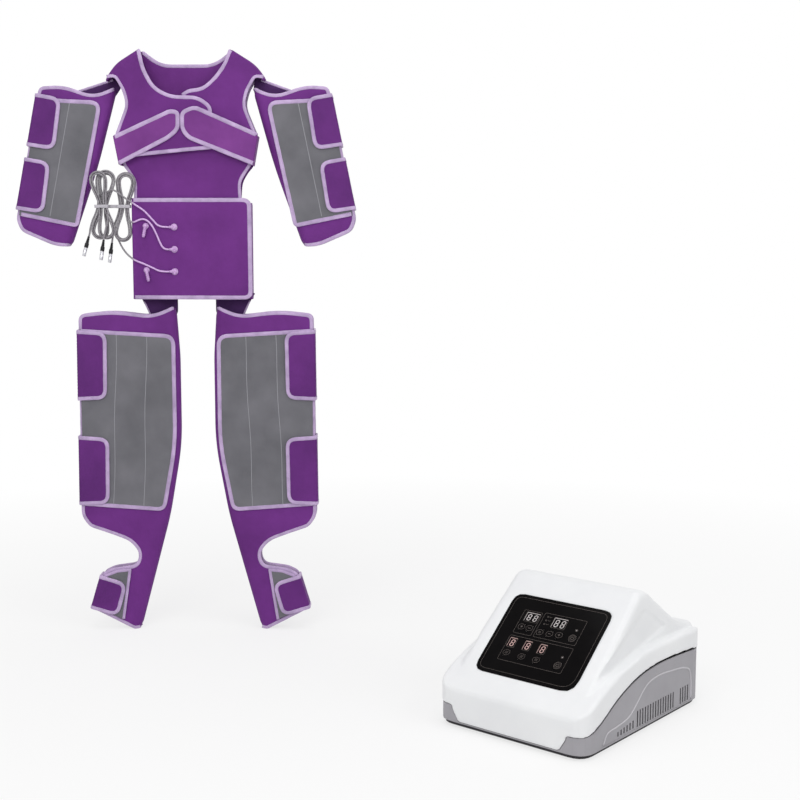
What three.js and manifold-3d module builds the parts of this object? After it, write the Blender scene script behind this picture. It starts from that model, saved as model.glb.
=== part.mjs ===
// Full body air pressure suit with its control console, in millimetres, +Z up.
// The suit stands upright in a plane along X, its front towards -Y, on its foot hems.
// The console stands on the same floor, in front of the suit and to its +X side.
import * as THREE from 'three';
import { mergeVertices } from 'three/addons/utils/BufferGeometryUtils.js';
import Module from 'manifold-3d';

const wasm = await Module();
wasm.setup();

// Clearances and fabric layers
const GAP = 0.3;
const TIDY = 0.01;
const WALL = 9;
const LUMEN = 24;
const PILLOW_EDGE = 4;
const LOOP_THICKNESS = 2.5;
const TAB_THICKNESS = 5;
const TAB_CORNER = 14;
const FLANGE_REACH = 400;

// Sideways place of each part of the suit
const VEST_X = -5;
const SLEEVES_X = -10;
const LEGS_X = 11;

// Legs: distances are outward from the middle line, heights are above the floor
const LEG_INNER = 46;
const LEG_OUTER = 322;
const LEG_TOP = 882;
const SHIN_TOP = 500;
const CALF_BOTTOM = 322;
const CALF_INNER = 81;
const HEEL_IN = 170;
const HEEL_UPPER = 248;
const HEEL_LOWER = 180;
const FOOT_OUTER = 301;
const FOOT_INNER = 168;
const FOOT_HEM = 18;
const FOOT_RISE = 59;
const LEG_RISE_WIDTH = 92;

// Leg fastening: the loop panel on the shin and the two hook tabs over it
const LEG_LOOP_TOP = 836;
const LEG_LOOP_DROP = 15;
const LEG_LOOP_MARGIN = 11;
const LEG_TAB_REACH = 80;
const LEG_TAB_UPPER_TOP = 836;
const LEG_TAB_UPPER_LOW = 640;
const LEG_TAB_LOWER_TOP = 546;
const LEG_TAB_LOWER_LOW = 350;
const FOOT_LOOP_REACH = 190;
const FOOT_LOOP_TIP = 26;
const FOOT_TAB_REACH = 202;

// Waist wrap, hinged at its fold on the -X side
const WRAP_LEFT = -155;
const WRAP_RIGHT = 166;
const WRAP_TOP = 1188;
const WRAP_BOTTOM = 917;
const WRAP_THICKNESS = 10;
const WRAP_CORNER = 16;

// Heights of the upper body, as shares of the way from the wrap's top to the neck
const NECK_TOP = 1580;
const TORSO = NECK_TOP - WRAP_TOP;
const SHOULDER_LOW = WRAP_TOP + 0.8036 * TORSO;
const CHEST_TOP = WRAP_TOP + 0.4235 * TORSO;
const CHEST_LOW = WRAP_TOP + 0.2194 * TORSO;
const BELLY_CURVE = WRAP_TOP + 0.1122 * TORSO;
const ABDOMEN_TOP = WRAP_TOP + 0.3776 * TORSO;
const FRONT_BOTTOM = WRAP_TOP + 0.3163 * TORSO;
const ARMHOLE_MIDDLE = WRAP_TOP + 0.6276 * TORSO;
const SLEEVE_TOP = WRAP_TOP + 0.7092 * TORSO;

// Sleeves: same directions as the legs
const SLEEVE_TOP_OUTER = 389;
const SLEEVE_TOP_INNER = 184;
const SLEEVE_CUFF_OUTER = 457;
const SLEEVE_CUFF_INNER = 314;
const SLEEVE_OUTER_LENGTH = 334;
const SLEEVE_INNER_LENGTH = 408;
const SLEEVE_CUFF_OUTER_Z = SLEEVE_TOP - SLEEVE_OUTER_LENGTH;
const SLEEVE_CUFF_INNER_Z = SLEEVE_TOP - SLEEVE_INNER_LENGTH;
const SLEEVE_LOOP_MARGIN = 24;
const SLEEVE_TAB_REACH = 64;
const SLEEVE_TAB_LENGTH = 142;
const SLEEVE_TAB_SPACE = 26;

// Vest: distances from its middle line
const NECK_HALF = 118;
const NECK_DIP = 44;
const SHOULDER_OUT = 208;
const ARMHOLE_IN = 160;
const CHEST_HALF = 188;
const CHEST_LOW_HALF = 174;
const SIDE_BAND = 8;
const WAIST_IN = 138;
const ABDOMEN_THICKNESS = 8;
const FRONT_THICKNESS = 7;
const OVERLAP_LEFT_REACH = 70;
const OVERLAP_RIGHT_REACH = 12;
const STRAP_END = 15;
const STRAP_SPLIT = 3;

// Cable glands and air nozzles on the wrap
const GLAND_X = -41;
const GLAND_TOP_Z = 1111;
const GLAND_PITCH = 59.5;
const GLAND_RADIUS = 9;
const NOZZLE_X = -117;
const NOZZLE_TOP_Z = 1114;
const NOZZLE_PITCH = 118;
const NOZZLE_LENGTH = 31;
const NOZZLE_RADIUS = 4.5;

// Cables, their hanks and plugs
const CABLE = 5;
const CABLE_PITCH = 5.7;
const HANK_RADIUS = 23;
const HANK_LOBE = 68;
const HANK_WAIST = 10.5;
const HANK_SIDES = 6;
const TIE_THICKNESS = 1.5;
const TIE_HEIGHT = 10;
const PLUG_RADIUS = 5.5;
const PLUG_BOOT = 30;
const PLUG_SHELL = 24;

// Console body
const CONSOLE_X = 960;
const CONSOLE_Y = -700;
const CONSOLE_TURN = -40;
const CONSOLE_WIDTH = 390;
const CONSOLE_DEPTH = 516;
const CONSOLE_RIDGE = 303;
const CONSOLE_CORNER = 45;
const SHELL_WALL = 3.5;
const TENT_HALF = 176;
const TENT_TAPER = 0.06;
const TENT_ROUND = 14;
const SLOPE_ANGLE = 40;
const SLOPE_FOOT_IN = 40;
const SLOPE_FOOT_Z = 112;
const NOSE_Z = 90;
const APRON_TOP_HALF = 150;
const APRON_LOW_HALF = 132;
const APRON_LOW = 15;
const RECESS_DEPTH = 5;
const CASE_INSET = 2;
const CASE_BOTTOM = 12;
const FOOT_HEIGHT = 4;
const FOOT_PAD_RADIUS = 16;

// Ventilation slots in both sides of the case
const SLOT_WIDTH = 5;
const SLOT_PITCH = 11.4;
const SLOT_LOW = 18;
const SLOT_HIGH = 55;
const SLOT_SHORT = 34;
const SLOTS_TALL = 15;
const SLOTS_REAR = 4;
const SLOTS_SHORT = 6;
const SLOTS_START_Y = -38;

// Key panel on the slope
const PANEL_WIDTH = 260;
const PANEL_LENGTH = 217;
const PANEL_CORNER = 24;
const PANEL_THICKNESS = 2.5;
const PANEL_CENTRE_IN = 97;
const KEY_RADIUS = 10;
const KEY_PROUD = 0.6;
const KEY_TRAVEL = 0.5;

// Rear sockets, inside parts
const REAR_PLATE_WIDTH = 210;
const REAR_PLATE_HEIGHT = 74;
const REAR_PLATE_Z = 66;
const SOCKET_RADIUS = 9;
const ROCKER_WIDTH = 20;
const ROCKER_HEIGHT = 26;
const ROCKER_TILT = 8;
const BOARD_WIDTH = 200;
const BOARD_LENGTH = 150;
const PUMP_LENGTH = 190;
const PUMP_WIDTH = 130;
const PUMP_HEIGHT = 92;

// Depths of the layers, forward from the back of the suit
const LIMB_DEPTH = 2 * WALL + LUMEN;
const LOOP_BACK = LIMB_DEPTH + GAP;
const LIMB_TAB_BACK = LOOP_BACK + LOOP_THICKNESS + GAP;
const ABDOMEN_BACK = WALL + LUMEN + GAP;
const WRAP_BACK = ABDOMEN_BACK + ABDOMEN_THICKNESS + GAP;
const WRAP_FRONT = WRAP_BACK + WRAP_THICKNESS;
const FRONT_RIGHT_BACK = WRAP_BACK;
const FRONT_LEFT_BACK = FRONT_RIGHT_BACK + FRONT_THICKNESS + GAP;
const STRAP_BACK = FRONT_LEFT_BACK + FRONT_THICKNESS + GAP;
const WRAP_AXIS_X = WRAP_LEFT + WRAP_THICKNESS / 2;
const WRAP_AXIS_DEPTH = WRAP_BACK + WRAP_THICKNESS / 2;

const SLOPE_FOOT_Y = SLOPE_FOOT_IN - CONSOLE_DEPTH / 2;
const PANEL_CENTRE_Y = SLOPE_FOOT_Y + PANEL_CENTRE_IN;

const slope = THREE.MathUtils.degToRad(SLOPE_ANGLE);
const suit = new THREE.Group();
const consoleGroup = new THREE.Group();

// Materials
const finish = (color, roughness, metalness = 0) =>
  new THREE.MeshStandardMaterial({ color, roughness, metalness });
const purpleFabric = finish(0x6e3482, 0.75);
const strapFabric = finish(0x7d408c, 0.75);
const greyFabric = finish(0x76757b, 0.9);
const cableJacket = finish(0x8b8a8f, 0.5);
const tieTape = finish(0x6f6d74, 0.85);
const blackPlastic = finish(0x221f24, 0.5);
const nickelShell = finish(0xc9c9cc, 0.25, 1);
const clearRubber = finish(0xc9b3cf, 0.4);
const whitePlastic = finish(0xf0f0f2, 0.3);
const greyPlastic = finish(0xa09ea3, 0.4);
const blackGlass = finish(0x060505, 0.08);
const greenBoard = finish(0x2d5a3a, 0.6);
const castMetal = finish(0x9a9a9e, 0.45, 0.8);

// Mesh and solid helpers
function solid(geometry) {
  const bare = new THREE.BufferGeometry();
  bare.setAttribute('position', geometry.getAttribute('position').clone());
  if (geometry.index) bare.setIndex(geometry.index.clone());
  const merged = mergeVertices(bare, 1e-4);
  const mesh = new wasm.Mesh({
    numProp: 3,
    vertProperties: new Float32Array(merged.getAttribute('position').array),
    triVerts: new Uint32Array(merged.index.array),
  });
  return new wasm.Manifold(mesh);
}

function surface(manifold) {
  const mesh = manifold.simplify(TIDY).getMesh();
  const geometry = new THREE.BufferGeometry();
  geometry.setAttribute('position', new THREE.BufferAttribute(mesh.vertProperties.slice(), 3));
  geometry.setIndex(new THREE.BufferAttribute(mesh.triVerts.slice(), 1));
  return geometry;
}

function addPiece(parent, name, geometry, material) {
  const mesh = new THREE.Mesh(geometry, material);
  mesh.name = name;
  parent.add(mesh);
  return mesh;
}

// A closed outline from [x, y, radius] corners; a missing radius is a sharp corner
function roundedOutline(corners) {
  const shape = new THREE.Shape();
  const count = corners.length;
  corners.forEach(([x, y, radius = 0], i) => {
    const here = new THREE.Vector2(x, y);
    const before = new THREE.Vector2(...corners[(i + count - 1) % count].slice(0, 2));
    const after = new THREE.Vector2(...corners[(i + 1) % count].slice(0, 2));
    const reach = Math.min(radius, 0.48 * here.distanceTo(before), 0.48 * here.distanceTo(after));
    const start = here.clone().add(before.sub(here).setLength(reach));
    const end = here.clone().add(after.sub(here).setLength(reach));
    if (i === 0) shape.moveTo(start.x, start.y);
    else shape.lineTo(start.x, start.y);
    if (radius > 0) shape.quadraticCurveTo(x, y, end.x, end.y);
  });
  return shape;
}

function mirrored(side, centre, corners) {
  return corners.map(([out, up, radius]) => [centre + side * out, up, radius]);
}

// An outline extruded from low to high along Z, its edges eased inwards by a given amount
function eased(shape, low, high, edge, segments) {
  const outline = shape.getPoints(3).filter((point, i, all) => {
    const next = all[(i + 1) % all.length];
    return point.distanceTo(next) > 0.02;
  });
  if (THREE.ShapeUtils.isClockWise(outline)) outline.reverse();
  const count = outline.length;
  const inward = outline.map((point, i) => {
    const along = point.clone().sub(outline[(i + count - 1) % count]).normalize();
    const on = outline[(i + 1) % count].clone().sub(point).normalize();
    const normal = new THREE.Vector2(-along.y - on.y, along.x + on.x).normalize();
    const share = normal.dot(new THREE.Vector2(-along.y, along.x));
    return normal.divideScalar(Math.max(share, 0.5));
  });
  const rings = [];
  for (let k = segments; k >= 0; k -= 1) {
    const angle = Math.PI / 2 * k / segments;
    rings.push([edge * (1 - Math.cos(angle)), edge * (1 - Math.sin(angle))]);
  }
  const levels = [
    ...rings.map(([inset, rise]) => [inset, low + rise]),
    ...rings.reverse().map(([inset, rise]) => [inset, high - rise]),
  ].filter((level, i, all) => i === 0 || level[1] > all[i - 1][1]);
  const positions = [];
  for (const [inset, height] of levels) {
    outline.forEach((point, i) => {
      positions.push(point.x + inward[i].x * inset, point.y + inward[i].y * inset, height);
    });
  }
  const indices = [];
  const last = (levels.length - 1) * count;
  for (const [a, b, c] of THREE.ShapeUtils.triangulateShape(outline, [])) {
    indices.push(a, c, b, last + a, last + b, last + c);
  }
  for (let level = 0; level < last; level += count) {
    for (let i = 0; i < count; i += 1) {
      const a = level + i;
      const b = level + (i + 1) % count;
      indices.push(a, b, b + count, a, b + count, a + count);
    }
  }
  const geometry = new THREE.BufferGeometry();
  geometry.setAttribute('position', new THREE.Float32BufferAttribute(positions, 3));
  geometry.setIndex(indices);
  return geometry;
}

// A layer of the suit: an outline in X and Z, from one depth to another, with soft edges
function layer(shape, back, front, edge = 1.5, segments = 1) {
  return eased(shape, back, front, edge, segments).rotateX(Math.PI / 2);
}

function halfPlaneCut(corners, back, front) {
  return solid(layer(roundedOutline(corners), back, front, 0));
}

// Legs
function legInnerLine(extra) {
  return [
    [LEG_INNER + 9 + extra, LEG_TOP + 18],
    [LEG_INNER + extra, LEG_TOP - 120],
    [LEG_INNER + extra, SHIN_TOP + 20],
    [CALF_INNER + extra, CALF_BOTTOM],
    [FOOT_INNER + extra, 0],
  ];
}

function legOutline(side) {
  return roundedOutline(mirrored(side, LEGS_X, [
    [LEG_INNER + 9, LEG_TOP + 18, 12],
    [LEG_INNER + 72, LEG_TOP - 9, 30],
    [LEG_OUTER - 96, LEG_TOP + 4, 40],
    [LEG_OUTER - 4, LEG_TOP - 6, 18],
    [LEG_OUTER + 2, CALF_BOTTOM - 2, 16],
    [LEG_OUTER - 19, CALF_BOTTOM - 32, 12],
    [LEG_OUTER - 78, HEEL_UPPER + 22, 0],
    [HEEL_IN + 22, HEEL_UPPER + 2, 20],
    [HEEL_IN - 4, HEEL_UPPER - 30, 18],
    [HEEL_IN + 4, HEEL_LOWER + 2, 20],
    [HEEL_IN + 75, HEEL_LOWER - 8, 22],
    [FOOT_OUTER - 30, HEEL_LOWER - 22, 10],
    [FOOT_OUTER, FOOT_RISE, 12],
    [FOOT_INNER + FOOT_HEM, 0, 0],
    [FOOT_INNER, 0, 0],
    [CALF_INNER, CALF_BOTTOM, 40],
    [LEG_INNER, SHIN_TOP + 20, 60],
    [LEG_INNER, LEG_TOP - 120, 20],
  ]));
}

function legBody(side) {
  const far = LEG_OUTER + 80;
  const inside = mirrored(side, LEGS_X, [
    [LEG_INNER + 9 + WALL, LEG_TOP + 80],
    ...legInnerLine(WALL * 1.05),
    [FOOT_INNER + WALL * 1.4, -60],
    [far, -60],
    [far, LEG_TOP + 80],
  ]);
  const rise = mirrored(side, LEGS_X, [
    [LEG_INNER + 6, LEG_TOP - 60],
    [LEG_INNER + 6, WRAP_BOTTOM + 3 - GAP],
    [LEG_INNER + 6 + LEG_RISE_WIDTH, WRAP_BOTTOM + 3 - GAP],
    [LEG_INNER + LEG_RISE_WIDTH - 22, LEG_TOP - 10],
    [LEG_INNER + LEG_RISE_WIDTH - 22, LEG_TOP - 60],
  ]);
  const pillow = solid(layer(legOutline(side), 0, LIMB_DEPTH, PILLOW_EDGE, 1));
  return pillow
    .subtract(halfPlaneCut(inside, WALL, WALL + LUMEN))
    .add(halfPlaneCut(rise, 0, WALL));
}

function legLoopOutline(side) {
  return roundedOutline(mirrored(side, LEGS_X, [
    [LEG_INNER + LEG_LOOP_MARGIN, LEG_LOOP_TOP - LEG_LOOP_DROP, 14],
    [LEG_OUTER - 6, LEG_LOOP_TOP, 2],
    [LEG_OUTER - 6, LEG_TAB_LOWER_LOW, 2],
    [CALF_INNER + LEG_LOOP_MARGIN, CALF_BOTTOM + 12, 14],
    [LEG_INNER + LEG_LOOP_MARGIN, SHIN_TOP + 20, 60],
  ]));
}

// A hook tab: a side wall round the open edge of the limb and a flange over its front.
// low and high are the ends of the edge line that it hinges on, [outward, height].
function wrapTab(side, centre, low, high, flangeCorners, flangeBack) {
  const half = TAB_THICKNESS / 2;
  const front = flangeBack + TAB_THICKNESS;
  const profile = new THREE.Shape();
  profile.moveTo(side * half, -half);
  profile.lineTo(side * half, -(front - half));
  profile.lineTo(side * -half * 0.2, -front);
  profile.lineTo(side * -FLANGE_REACH, -front);
  profile.lineTo(side * -FLANGE_REACH, -flangeBack);
  profile.lineTo(side * -half, -flangeBack);
  profile.lineTo(side * -half, -half);
  profile.absarc(0, -half, half, side > 0 ? Math.PI : 0, side > 0 ? 0 : Math.PI, side < 0);
  return alongEdge(profile, side, centre, low, high, flangeCorners, front);
}

// A flange alone, with a round end on its hinge line, in front of a fixed side wall
function frontTab(side, centre, low, high, flangeCorners, flangeBack) {
  const half = TAB_THICKNESS / 2;
  const front = flangeBack + TAB_THICKNESS;
  const profile = new THREE.Shape();
  profile.moveTo(side * -FLANGE_REACH, -front);
  profile.lineTo(side * -FLANGE_REACH, -flangeBack);
  profile.lineTo(0, -flangeBack);
  profile.absarc(0, -flangeBack - half, half, Math.PI / 2, -Math.PI / 2, side > 0);
  return alongEdge(profile, side, centre, low, high, flangeCorners, front);
}

function alongEdge(profile, side, centre, low, high, flangeCorners, front) {
  const half = TAB_THICKNESS / 2;
  const lowPoint = new THREE.Vector3(centre + side * (low[0] + GAP + half), 0, low[1]);
  const highPoint = new THREE.Vector3(centre + side * (high[0] + GAP + half), 0, high[1]);
  const length = lowPoint.distanceTo(highPoint);
  const bar = new THREE.ExtrudeGeometry(profile, {
    depth: length + 120,
    bevelEnabled: false,
    curveSegments: 6,
  });
  bar.translate(0, 0, -60);
  bar.rotateY(Math.atan2(highPoint.x - lowPoint.x, highPoint.z - lowPoint.z));
  bar.translate(lowPoint.x, 0, lowPoint.z);
  const flange = halfPlaneCut(mirrored(side, centre, flangeCorners), -1, front + 1);
  return surface(solid(bar).intersect(flange));
}

function footTabCorners() {
  return [
    [FOOT_OUTER - 20, FOOT_RISE + 97, 4],
    [FOOT_TAB_REACH, FOOT_RISE + 72, TAB_CORNER],
    [FOOT_TAB_REACH + 26, FOOT_RISE - 22, TAB_CORNER],
    [FOOT_OUTER + 14, FOOT_RISE + 4, 4],
    [FOOT_OUTER + 14, FOOT_RISE + 14, 4],
  ];
}

function buildLeg(side, label) {
  addPiece(suit, `leg_${label}`, surface(legBody(side)), purpleFabric);
  const loopFront = LOOP_BACK + LOOP_THICKNESS;
  const shinLoop = layer(legLoopOutline(side), LOOP_BACK, loopFront, 0);
  addPiece(suit, `leg_loop_panel_${label}`, shinLoop, greyFabric);
  const edgeLow = [LEG_OUTER + 2, CALF_BOTTOM];
  const edgeHigh = [LEG_OUTER - 4, LEG_TOP - 6];
  const inner = LEG_OUTER - LEG_TAB_REACH;
  const spans = [
    ['upper', LEG_TAB_UPPER_LOW, LEG_TAB_UPPER_TOP],
    ['lower', LEG_TAB_LOWER_LOW, LEG_TAB_LOWER_TOP],
  ];
  for (const [place, bottom, top] of spans) {
    const corners = [
      [LEG_OUTER + 20, top, 2],
      [inner, top - 8, TAB_CORNER],
      [inner + 3, bottom + 5, TAB_CORNER],
      [LEG_OUTER + 20, bottom, 2],
    ];
    const tab = wrapTab(side, LEGS_X, edgeLow, edgeHigh, corners, LIMB_TAB_BACK);
    addPiece(suit, `leg_tab_${place}_${label}`, tab, strapFabric);
  }
  const footLoop = roundedOutline(mirrored(side, LEGS_X, [
    [FOOT_OUTER - 32, HEEL_LOWER - 28, 2],
    [FOOT_LOOP_REACH + 40, HEEL_LOWER - 12, 2],
    [FOOT_LOOP_REACH, HEEL_LOWER - 8, 2],
    [FOOT_LOOP_REACH + 22, FOOT_LOOP_TIP, 2],
    [FOOT_OUTER - 6, FOOT_RISE + 6, 2],
  ]));
  addPiece(suit, `foot_loop_panel_${label}`, layer(footLoop, LOOP_BACK, loopFront, 0), greyFabric);
  const footLow = [FOOT_OUTER, FOOT_RISE];
  const footHigh = [FOOT_OUTER - 30, HEEL_LOWER - 22];
  const footTab = wrapTab(side, LEGS_X, footLow, footHigh, footTabCorners(), LIMB_TAB_BACK);
  addPiece(suit, `foot_tab_${label}`, footTab, strapFabric);
}

// Sleeves
const sleeveOuterSlope = (SLEEVE_CUFF_OUTER - SLEEVE_TOP_OUTER) / (SLEEVE_TOP - SLEEVE_CUFF_OUTER_Z);
const sleeveOuterAt = (z) => SLEEVE_TOP_OUTER + (SLEEVE_TOP - z) * sleeveOuterSlope;
const sleeveInnerSlope = (SLEEVE_CUFF_INNER - SLEEVE_TOP_INNER) / (SLEEVE_TOP - SLEEVE_CUFF_INNER_Z);
const sleeveInnerAt = (z) => SLEEVE_TOP_INNER + (SLEEVE_TOP - z) * sleeveInnerSlope;

function sleeveOutline(side) {
  return roundedOutline(mirrored(side, SLEEVES_X, [
    [SLEEVE_TOP_INNER - 4, SLEEVE_TOP + 16, 12],
    [sleeveInnerAt(SLEEVE_TOP) + 58, SLEEVE_TOP - 8, 30],
    [SLEEVE_TOP_OUTER - 66, SLEEVE_TOP + 20, 30],
    [sleeveOuterAt(SLEEVE_TOP + 16), SLEEVE_TOP + 16, 14],
    [SLEEVE_CUFF_OUTER, SLEEVE_CUFF_OUTER_Z, 12],
    [SLEEVE_CUFF_OUTER - 12, SLEEVE_CUFF_OUTER_Z - 32, 14],
    [SLEEVE_CUFF_INNER + 44, SLEEVE_CUFF_INNER_Z + 4, 20],
    [SLEEVE_CUFF_INNER, SLEEVE_CUFF_INNER_Z, 12],
    [sleeveInnerAt(SLEEVE_TOP - 190) - 8, SLEEVE_TOP - 190, 60],
  ]));
}

function sleeveBody(side) {
  const far = SLEEVE_CUFF_OUTER + 90;
  const middle = SLEEVE_TOP - 190;
  const inside = mirrored(side, SLEEVES_X, [
    [SLEEVE_TOP_INNER + WALL, SLEEVE_TOP + 90],
    [SLEEVE_TOP_INNER + WALL, SLEEVE_TOP],
    [sleeveInnerAt(middle) - 8 + WALL, middle],
    [SLEEVE_CUFF_INNER + WALL, SLEEVE_CUFF_INNER_Z],
    [SLEEVE_CUFF_INNER + WALL + 20, SLEEVE_CUFF_INNER_Z - 60],
    [far, SLEEVE_CUFF_INNER_Z - 60],
    [far, SLEEVE_TOP + 90],
  ]);
  const shoulderShift = VEST_X * side - SLEEVES_X * side;
  const gusset = mirrored(side, SLEEVES_X, [
    [SLEEVE_TOP_INNER + 4, SLEEVE_TOP - 30],
    [ARMHOLE_IN + 14 + shoulderShift, SHOULDER_LOW - 22],
    [ARMHOLE_IN + 26 + shoulderShift, SHOULDER_LOW + 1 - GAP],
    [SHOULDER_OUT - 1 + shoulderShift, SHOULDER_LOW - 4 - GAP],
    [SLEEVE_TOP_OUTER - 100, SLEEVE_TOP + 10],
    [SLEEVE_TOP_OUTER - 100, SLEEVE_TOP - 30],
  ]);
  const pillow = solid(layer(sleeveOutline(side), 0, LIMB_DEPTH, PILLOW_EDGE, 2));
  return pillow
    .subtract(halfPlaneCut(inside, WALL, WALL + LUMEN))
    .add(halfPlaneCut(gusset, 0, WALL));
}

function buildSleeve(side, label) {
  const body = sleeveBody(side).subtract(vestClearance());
  addPiece(suit, `sleeve_${label}`, surface(body), purpleFabric);
  const loopTop = SLEEVE_TOP - 22;
  const loopInner = (z) => sleeveInnerAt(z) + SLEEVE_LOOP_MARGIN;
  const loop = roundedOutline(mirrored(side, SLEEVES_X, [
    [loopInner(loopTop) + 4, loopTop, 26],
    [sleeveOuterAt(loopTop) - 6, loopTop + 8, 2],
    [sleeveOuterAt(SLEEVE_CUFF_OUTER_Z + 10) - 6, SLEEVE_CUFF_OUTER_Z + 10, 4],
    [loopInner(SLEEVE_CUFF_OUTER_Z - 20) - 30, SLEEVE_CUFF_OUTER_Z - 22, 8],
    [loopInner(SLEEVE_TOP - 110) - 6, SLEEVE_TOP - 110, 40],
  ]));
  const loopFront = LOOP_BACK + LOOP_THICKNESS;
  addPiece(suit, `sleeve_loop_panel_${label}`, layer(loop, LOOP_BACK, loopFront, 0), greyFabric);
  const upperTop = SLEEVE_TOP - 4;
  const lowerTop = upperTop - SLEEVE_TAB_LENGTH - SLEEVE_TAB_SPACE;
  const edgeLow = [SLEEVE_CUFF_OUTER, SLEEVE_CUFF_OUTER_Z];
  const edgeHigh = [SLEEVE_TOP_OUTER, SLEEVE_TOP];
  for (const [place, top] of [['upper', upperTop], ['lower', lowerTop]]) {
    const bottom = top - SLEEVE_TAB_LENGTH;
    const corners = [
      [sleeveOuterAt(top) + 20, top + 4, 2],
      [sleeveOuterAt(top) - SLEEVE_TAB_REACH, top - 10, TAB_CORNER],
      [sleeveOuterAt(bottom) - SLEEVE_TAB_REACH - 8, bottom - 5, TAB_CORNER],
      [sleeveOuterAt(bottom) + 20, bottom + 8, 2],
    ];
    const tab = wrapTab(side, SLEEVES_X, edgeLow, edgeHigh, corners, LIMB_TAB_BACK);
    addPiece(suit, `sleeve_tab_${place}_${label}`, tab, strapFabric);
  }
}

// Vest
function armholeCorners() {
  return [
    [NECK_HALF, NECK_TOP, 4],
    [(NECK_HALF + SHOULDER_OUT) / 2, (NECK_TOP + SHOULDER_LOW) / 2 + 8, 40],
    [SHOULDER_OUT, SHOULDER_LOW, 0],
    [ARMHOLE_IN + 26, SHOULDER_LOW + 3, 8],
    [ARMHOLE_IN + 6, SHOULDER_LOW - 32, 10],
    [ARMHOLE_IN - 4, ARMHOLE_MIDDLE, 30],
    [CHEST_HALF, CHEST_TOP, 10],
  ];
}

function vestSideCorners() {
  return [
    ...armholeCorners(),
    [CHEST_LOW_HALF, CHEST_LOW, 4],
    [CHEST_LOW_HALF - 14, CHEST_LOW - 16, 12],
    [WAIST_IN + 6, BELLY_CURVE, 16],
    [WAIST_IN, WRAP_TOP + 6, 4],
  ];
}

const onSide = (side, corners) => mirrored(side, VEST_X, corners);

function vestBackOutline() {
  const left = onSide(-1, vestSideCorners());
  const right = onSide(1, vestSideCorners()).reverse();
  const waist = [
    [WRAP_LEFT + 2, WRAP_TOP, 4],
    [WRAP_LEFT + 2, WRAP_BOTTOM + 3, 4],
    [WRAP_RIGHT - 2, WRAP_BOTTOM + 3, 4],
    [WRAP_RIGHT - 2, WRAP_TOP, 4],
  ];
  const neck = [
    [VEST_X + NECK_HALF * 0.6, NECK_TOP - NECK_DIP + 8, 30],
    [VEST_X - NECK_HALF * 0.6, NECK_TOP - NECK_DIP + 8, 30],
  ];
  return roundedOutline([...left, ...waist, ...right, ...neck]);
}

// Strips that carry the front panels forward from the back panel
function shoulderStrip(side, depth) {
  return halfPlaneCut(onSide(side, [
    [NECK_HALF + 4, NECK_TOP - 5],
    [(NECK_HALF + SHOULDER_OUT) / 2, (NECK_TOP + SHOULDER_LOW) / 2 - 1],
    [SHOULDER_OUT - 8, SHOULDER_LOW + 6],
    [SHOULDER_OUT - 14, SHOULDER_LOW + 4],
    [(NECK_HALF + SHOULDER_OUT) / 2 - 5, (NECK_TOP + SHOULDER_LOW) / 2 - 12],
    [NECK_HALF, NECK_TOP - 15],
  ]), WALL / 2, depth);
}

function sideStrip(side) {
  return halfPlaneCut(onSide(side, [
    [CHEST_HALF - SIDE_BAND - 1.5, CHEST_TOP - 4],
    [CHEST_HALF - 1.5, CHEST_TOP - 4],
    [CHEST_LOW_HALF - 0.5, CHEST_LOW + 2],
    [CHEST_LOW_HALF - SIDE_BAND - 0.5, CHEST_LOW + 2],
  ]), WALL / 2, WALL + LUMEN);
}

function waistStrip(outer, inner) {
  return halfPlaneCut([
    [outer, WRAP_BOTTOM],
    [inner, WRAP_BOTTOM],
    [inner, WRAP_TOP],
    [outer, WRAP_TOP],
  ], 0, WRAP_BACK - GAP);
}

// The side walls that bring the chest straps round from the back to the front
function strapWall(side) {
  const half = TAB_THICKNESS / 2;
  const wall = (back, front, inward) => {
    const shape = onSide(side, [
      [CHEST_LOW_HALF + GAP - inward, CHEST_LOW],
      [CHEST_LOW_HALF + GAP + 2 * half, CHEST_LOW],
      [CHEST_HALF + GAP + 2 * half, CHEST_TOP],
      [CHEST_HALF + GAP - inward, CHEST_TOP],
    ]);
    return halfPlaneCut(shape, back, front);
  };
  return wall(0, STRAP_BACK - GAP, 0).add(wall(1, WALL - 1, 6));
}

function vestBack() {
  return solid(layer(vestBackOutline(), 0, WALL, 2))
    .add(shoulderStrip(-1, FRONT_LEFT_BACK - GAP))
    .add(shoulderStrip(1, FRONT_RIGHT_BACK - GAP))
    .add(sideStrip(-1))
    .add(sideStrip(1))
    .add(strapWall(-1))
    .add(strapWall(1))
    .add(waistStrip(WRAP_LEFT, WRAP_LEFT + WALL))
    .add(waistStrip(WRAP_RIGHT, WRAP_RIGHT - WALL));
}

// The space that the back of the vest takes, grown by the clearance
function vestClearance() {
  const body = vestBack();
  const reach = GAP * 1.4;
  return body
    .add(body.translate([-reach, 0, 0]))
    .add(body.translate([reach, 0, 0]))
    .add(body.translate([0, 0, -reach]));
}

function frontLeftOutline() {
  const neckEdge = [
    [-NECK_HALF + 10, 0.128, 20],
    [-NECK_HALF + 36, 0.255, 26],
    [-NECK_HALF + 80, 0.311, 20],
    [OVERLAP_LEFT_REACH - 34, 0.316, 30],
    [OVERLAP_LEFT_REACH, 0.383, 14],
  ].map(([x, drop, r]) => [VEST_X + x, NECK_TOP - drop * TORSO, r]);
  return roundedOutline([
    ...onSide(-1, armholeCorners()).reverse(),
    ...neckEdge,
    [VEST_X + OVERLAP_LEFT_REACH, FRONT_BOTTOM + 6, 6],
    [VEST_X, FRONT_BOTTOM, 60],
    [VEST_X - CHEST_LOW_HALF - 3, FRONT_BOTTOM - 18, 6],
  ]);
}

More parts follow.
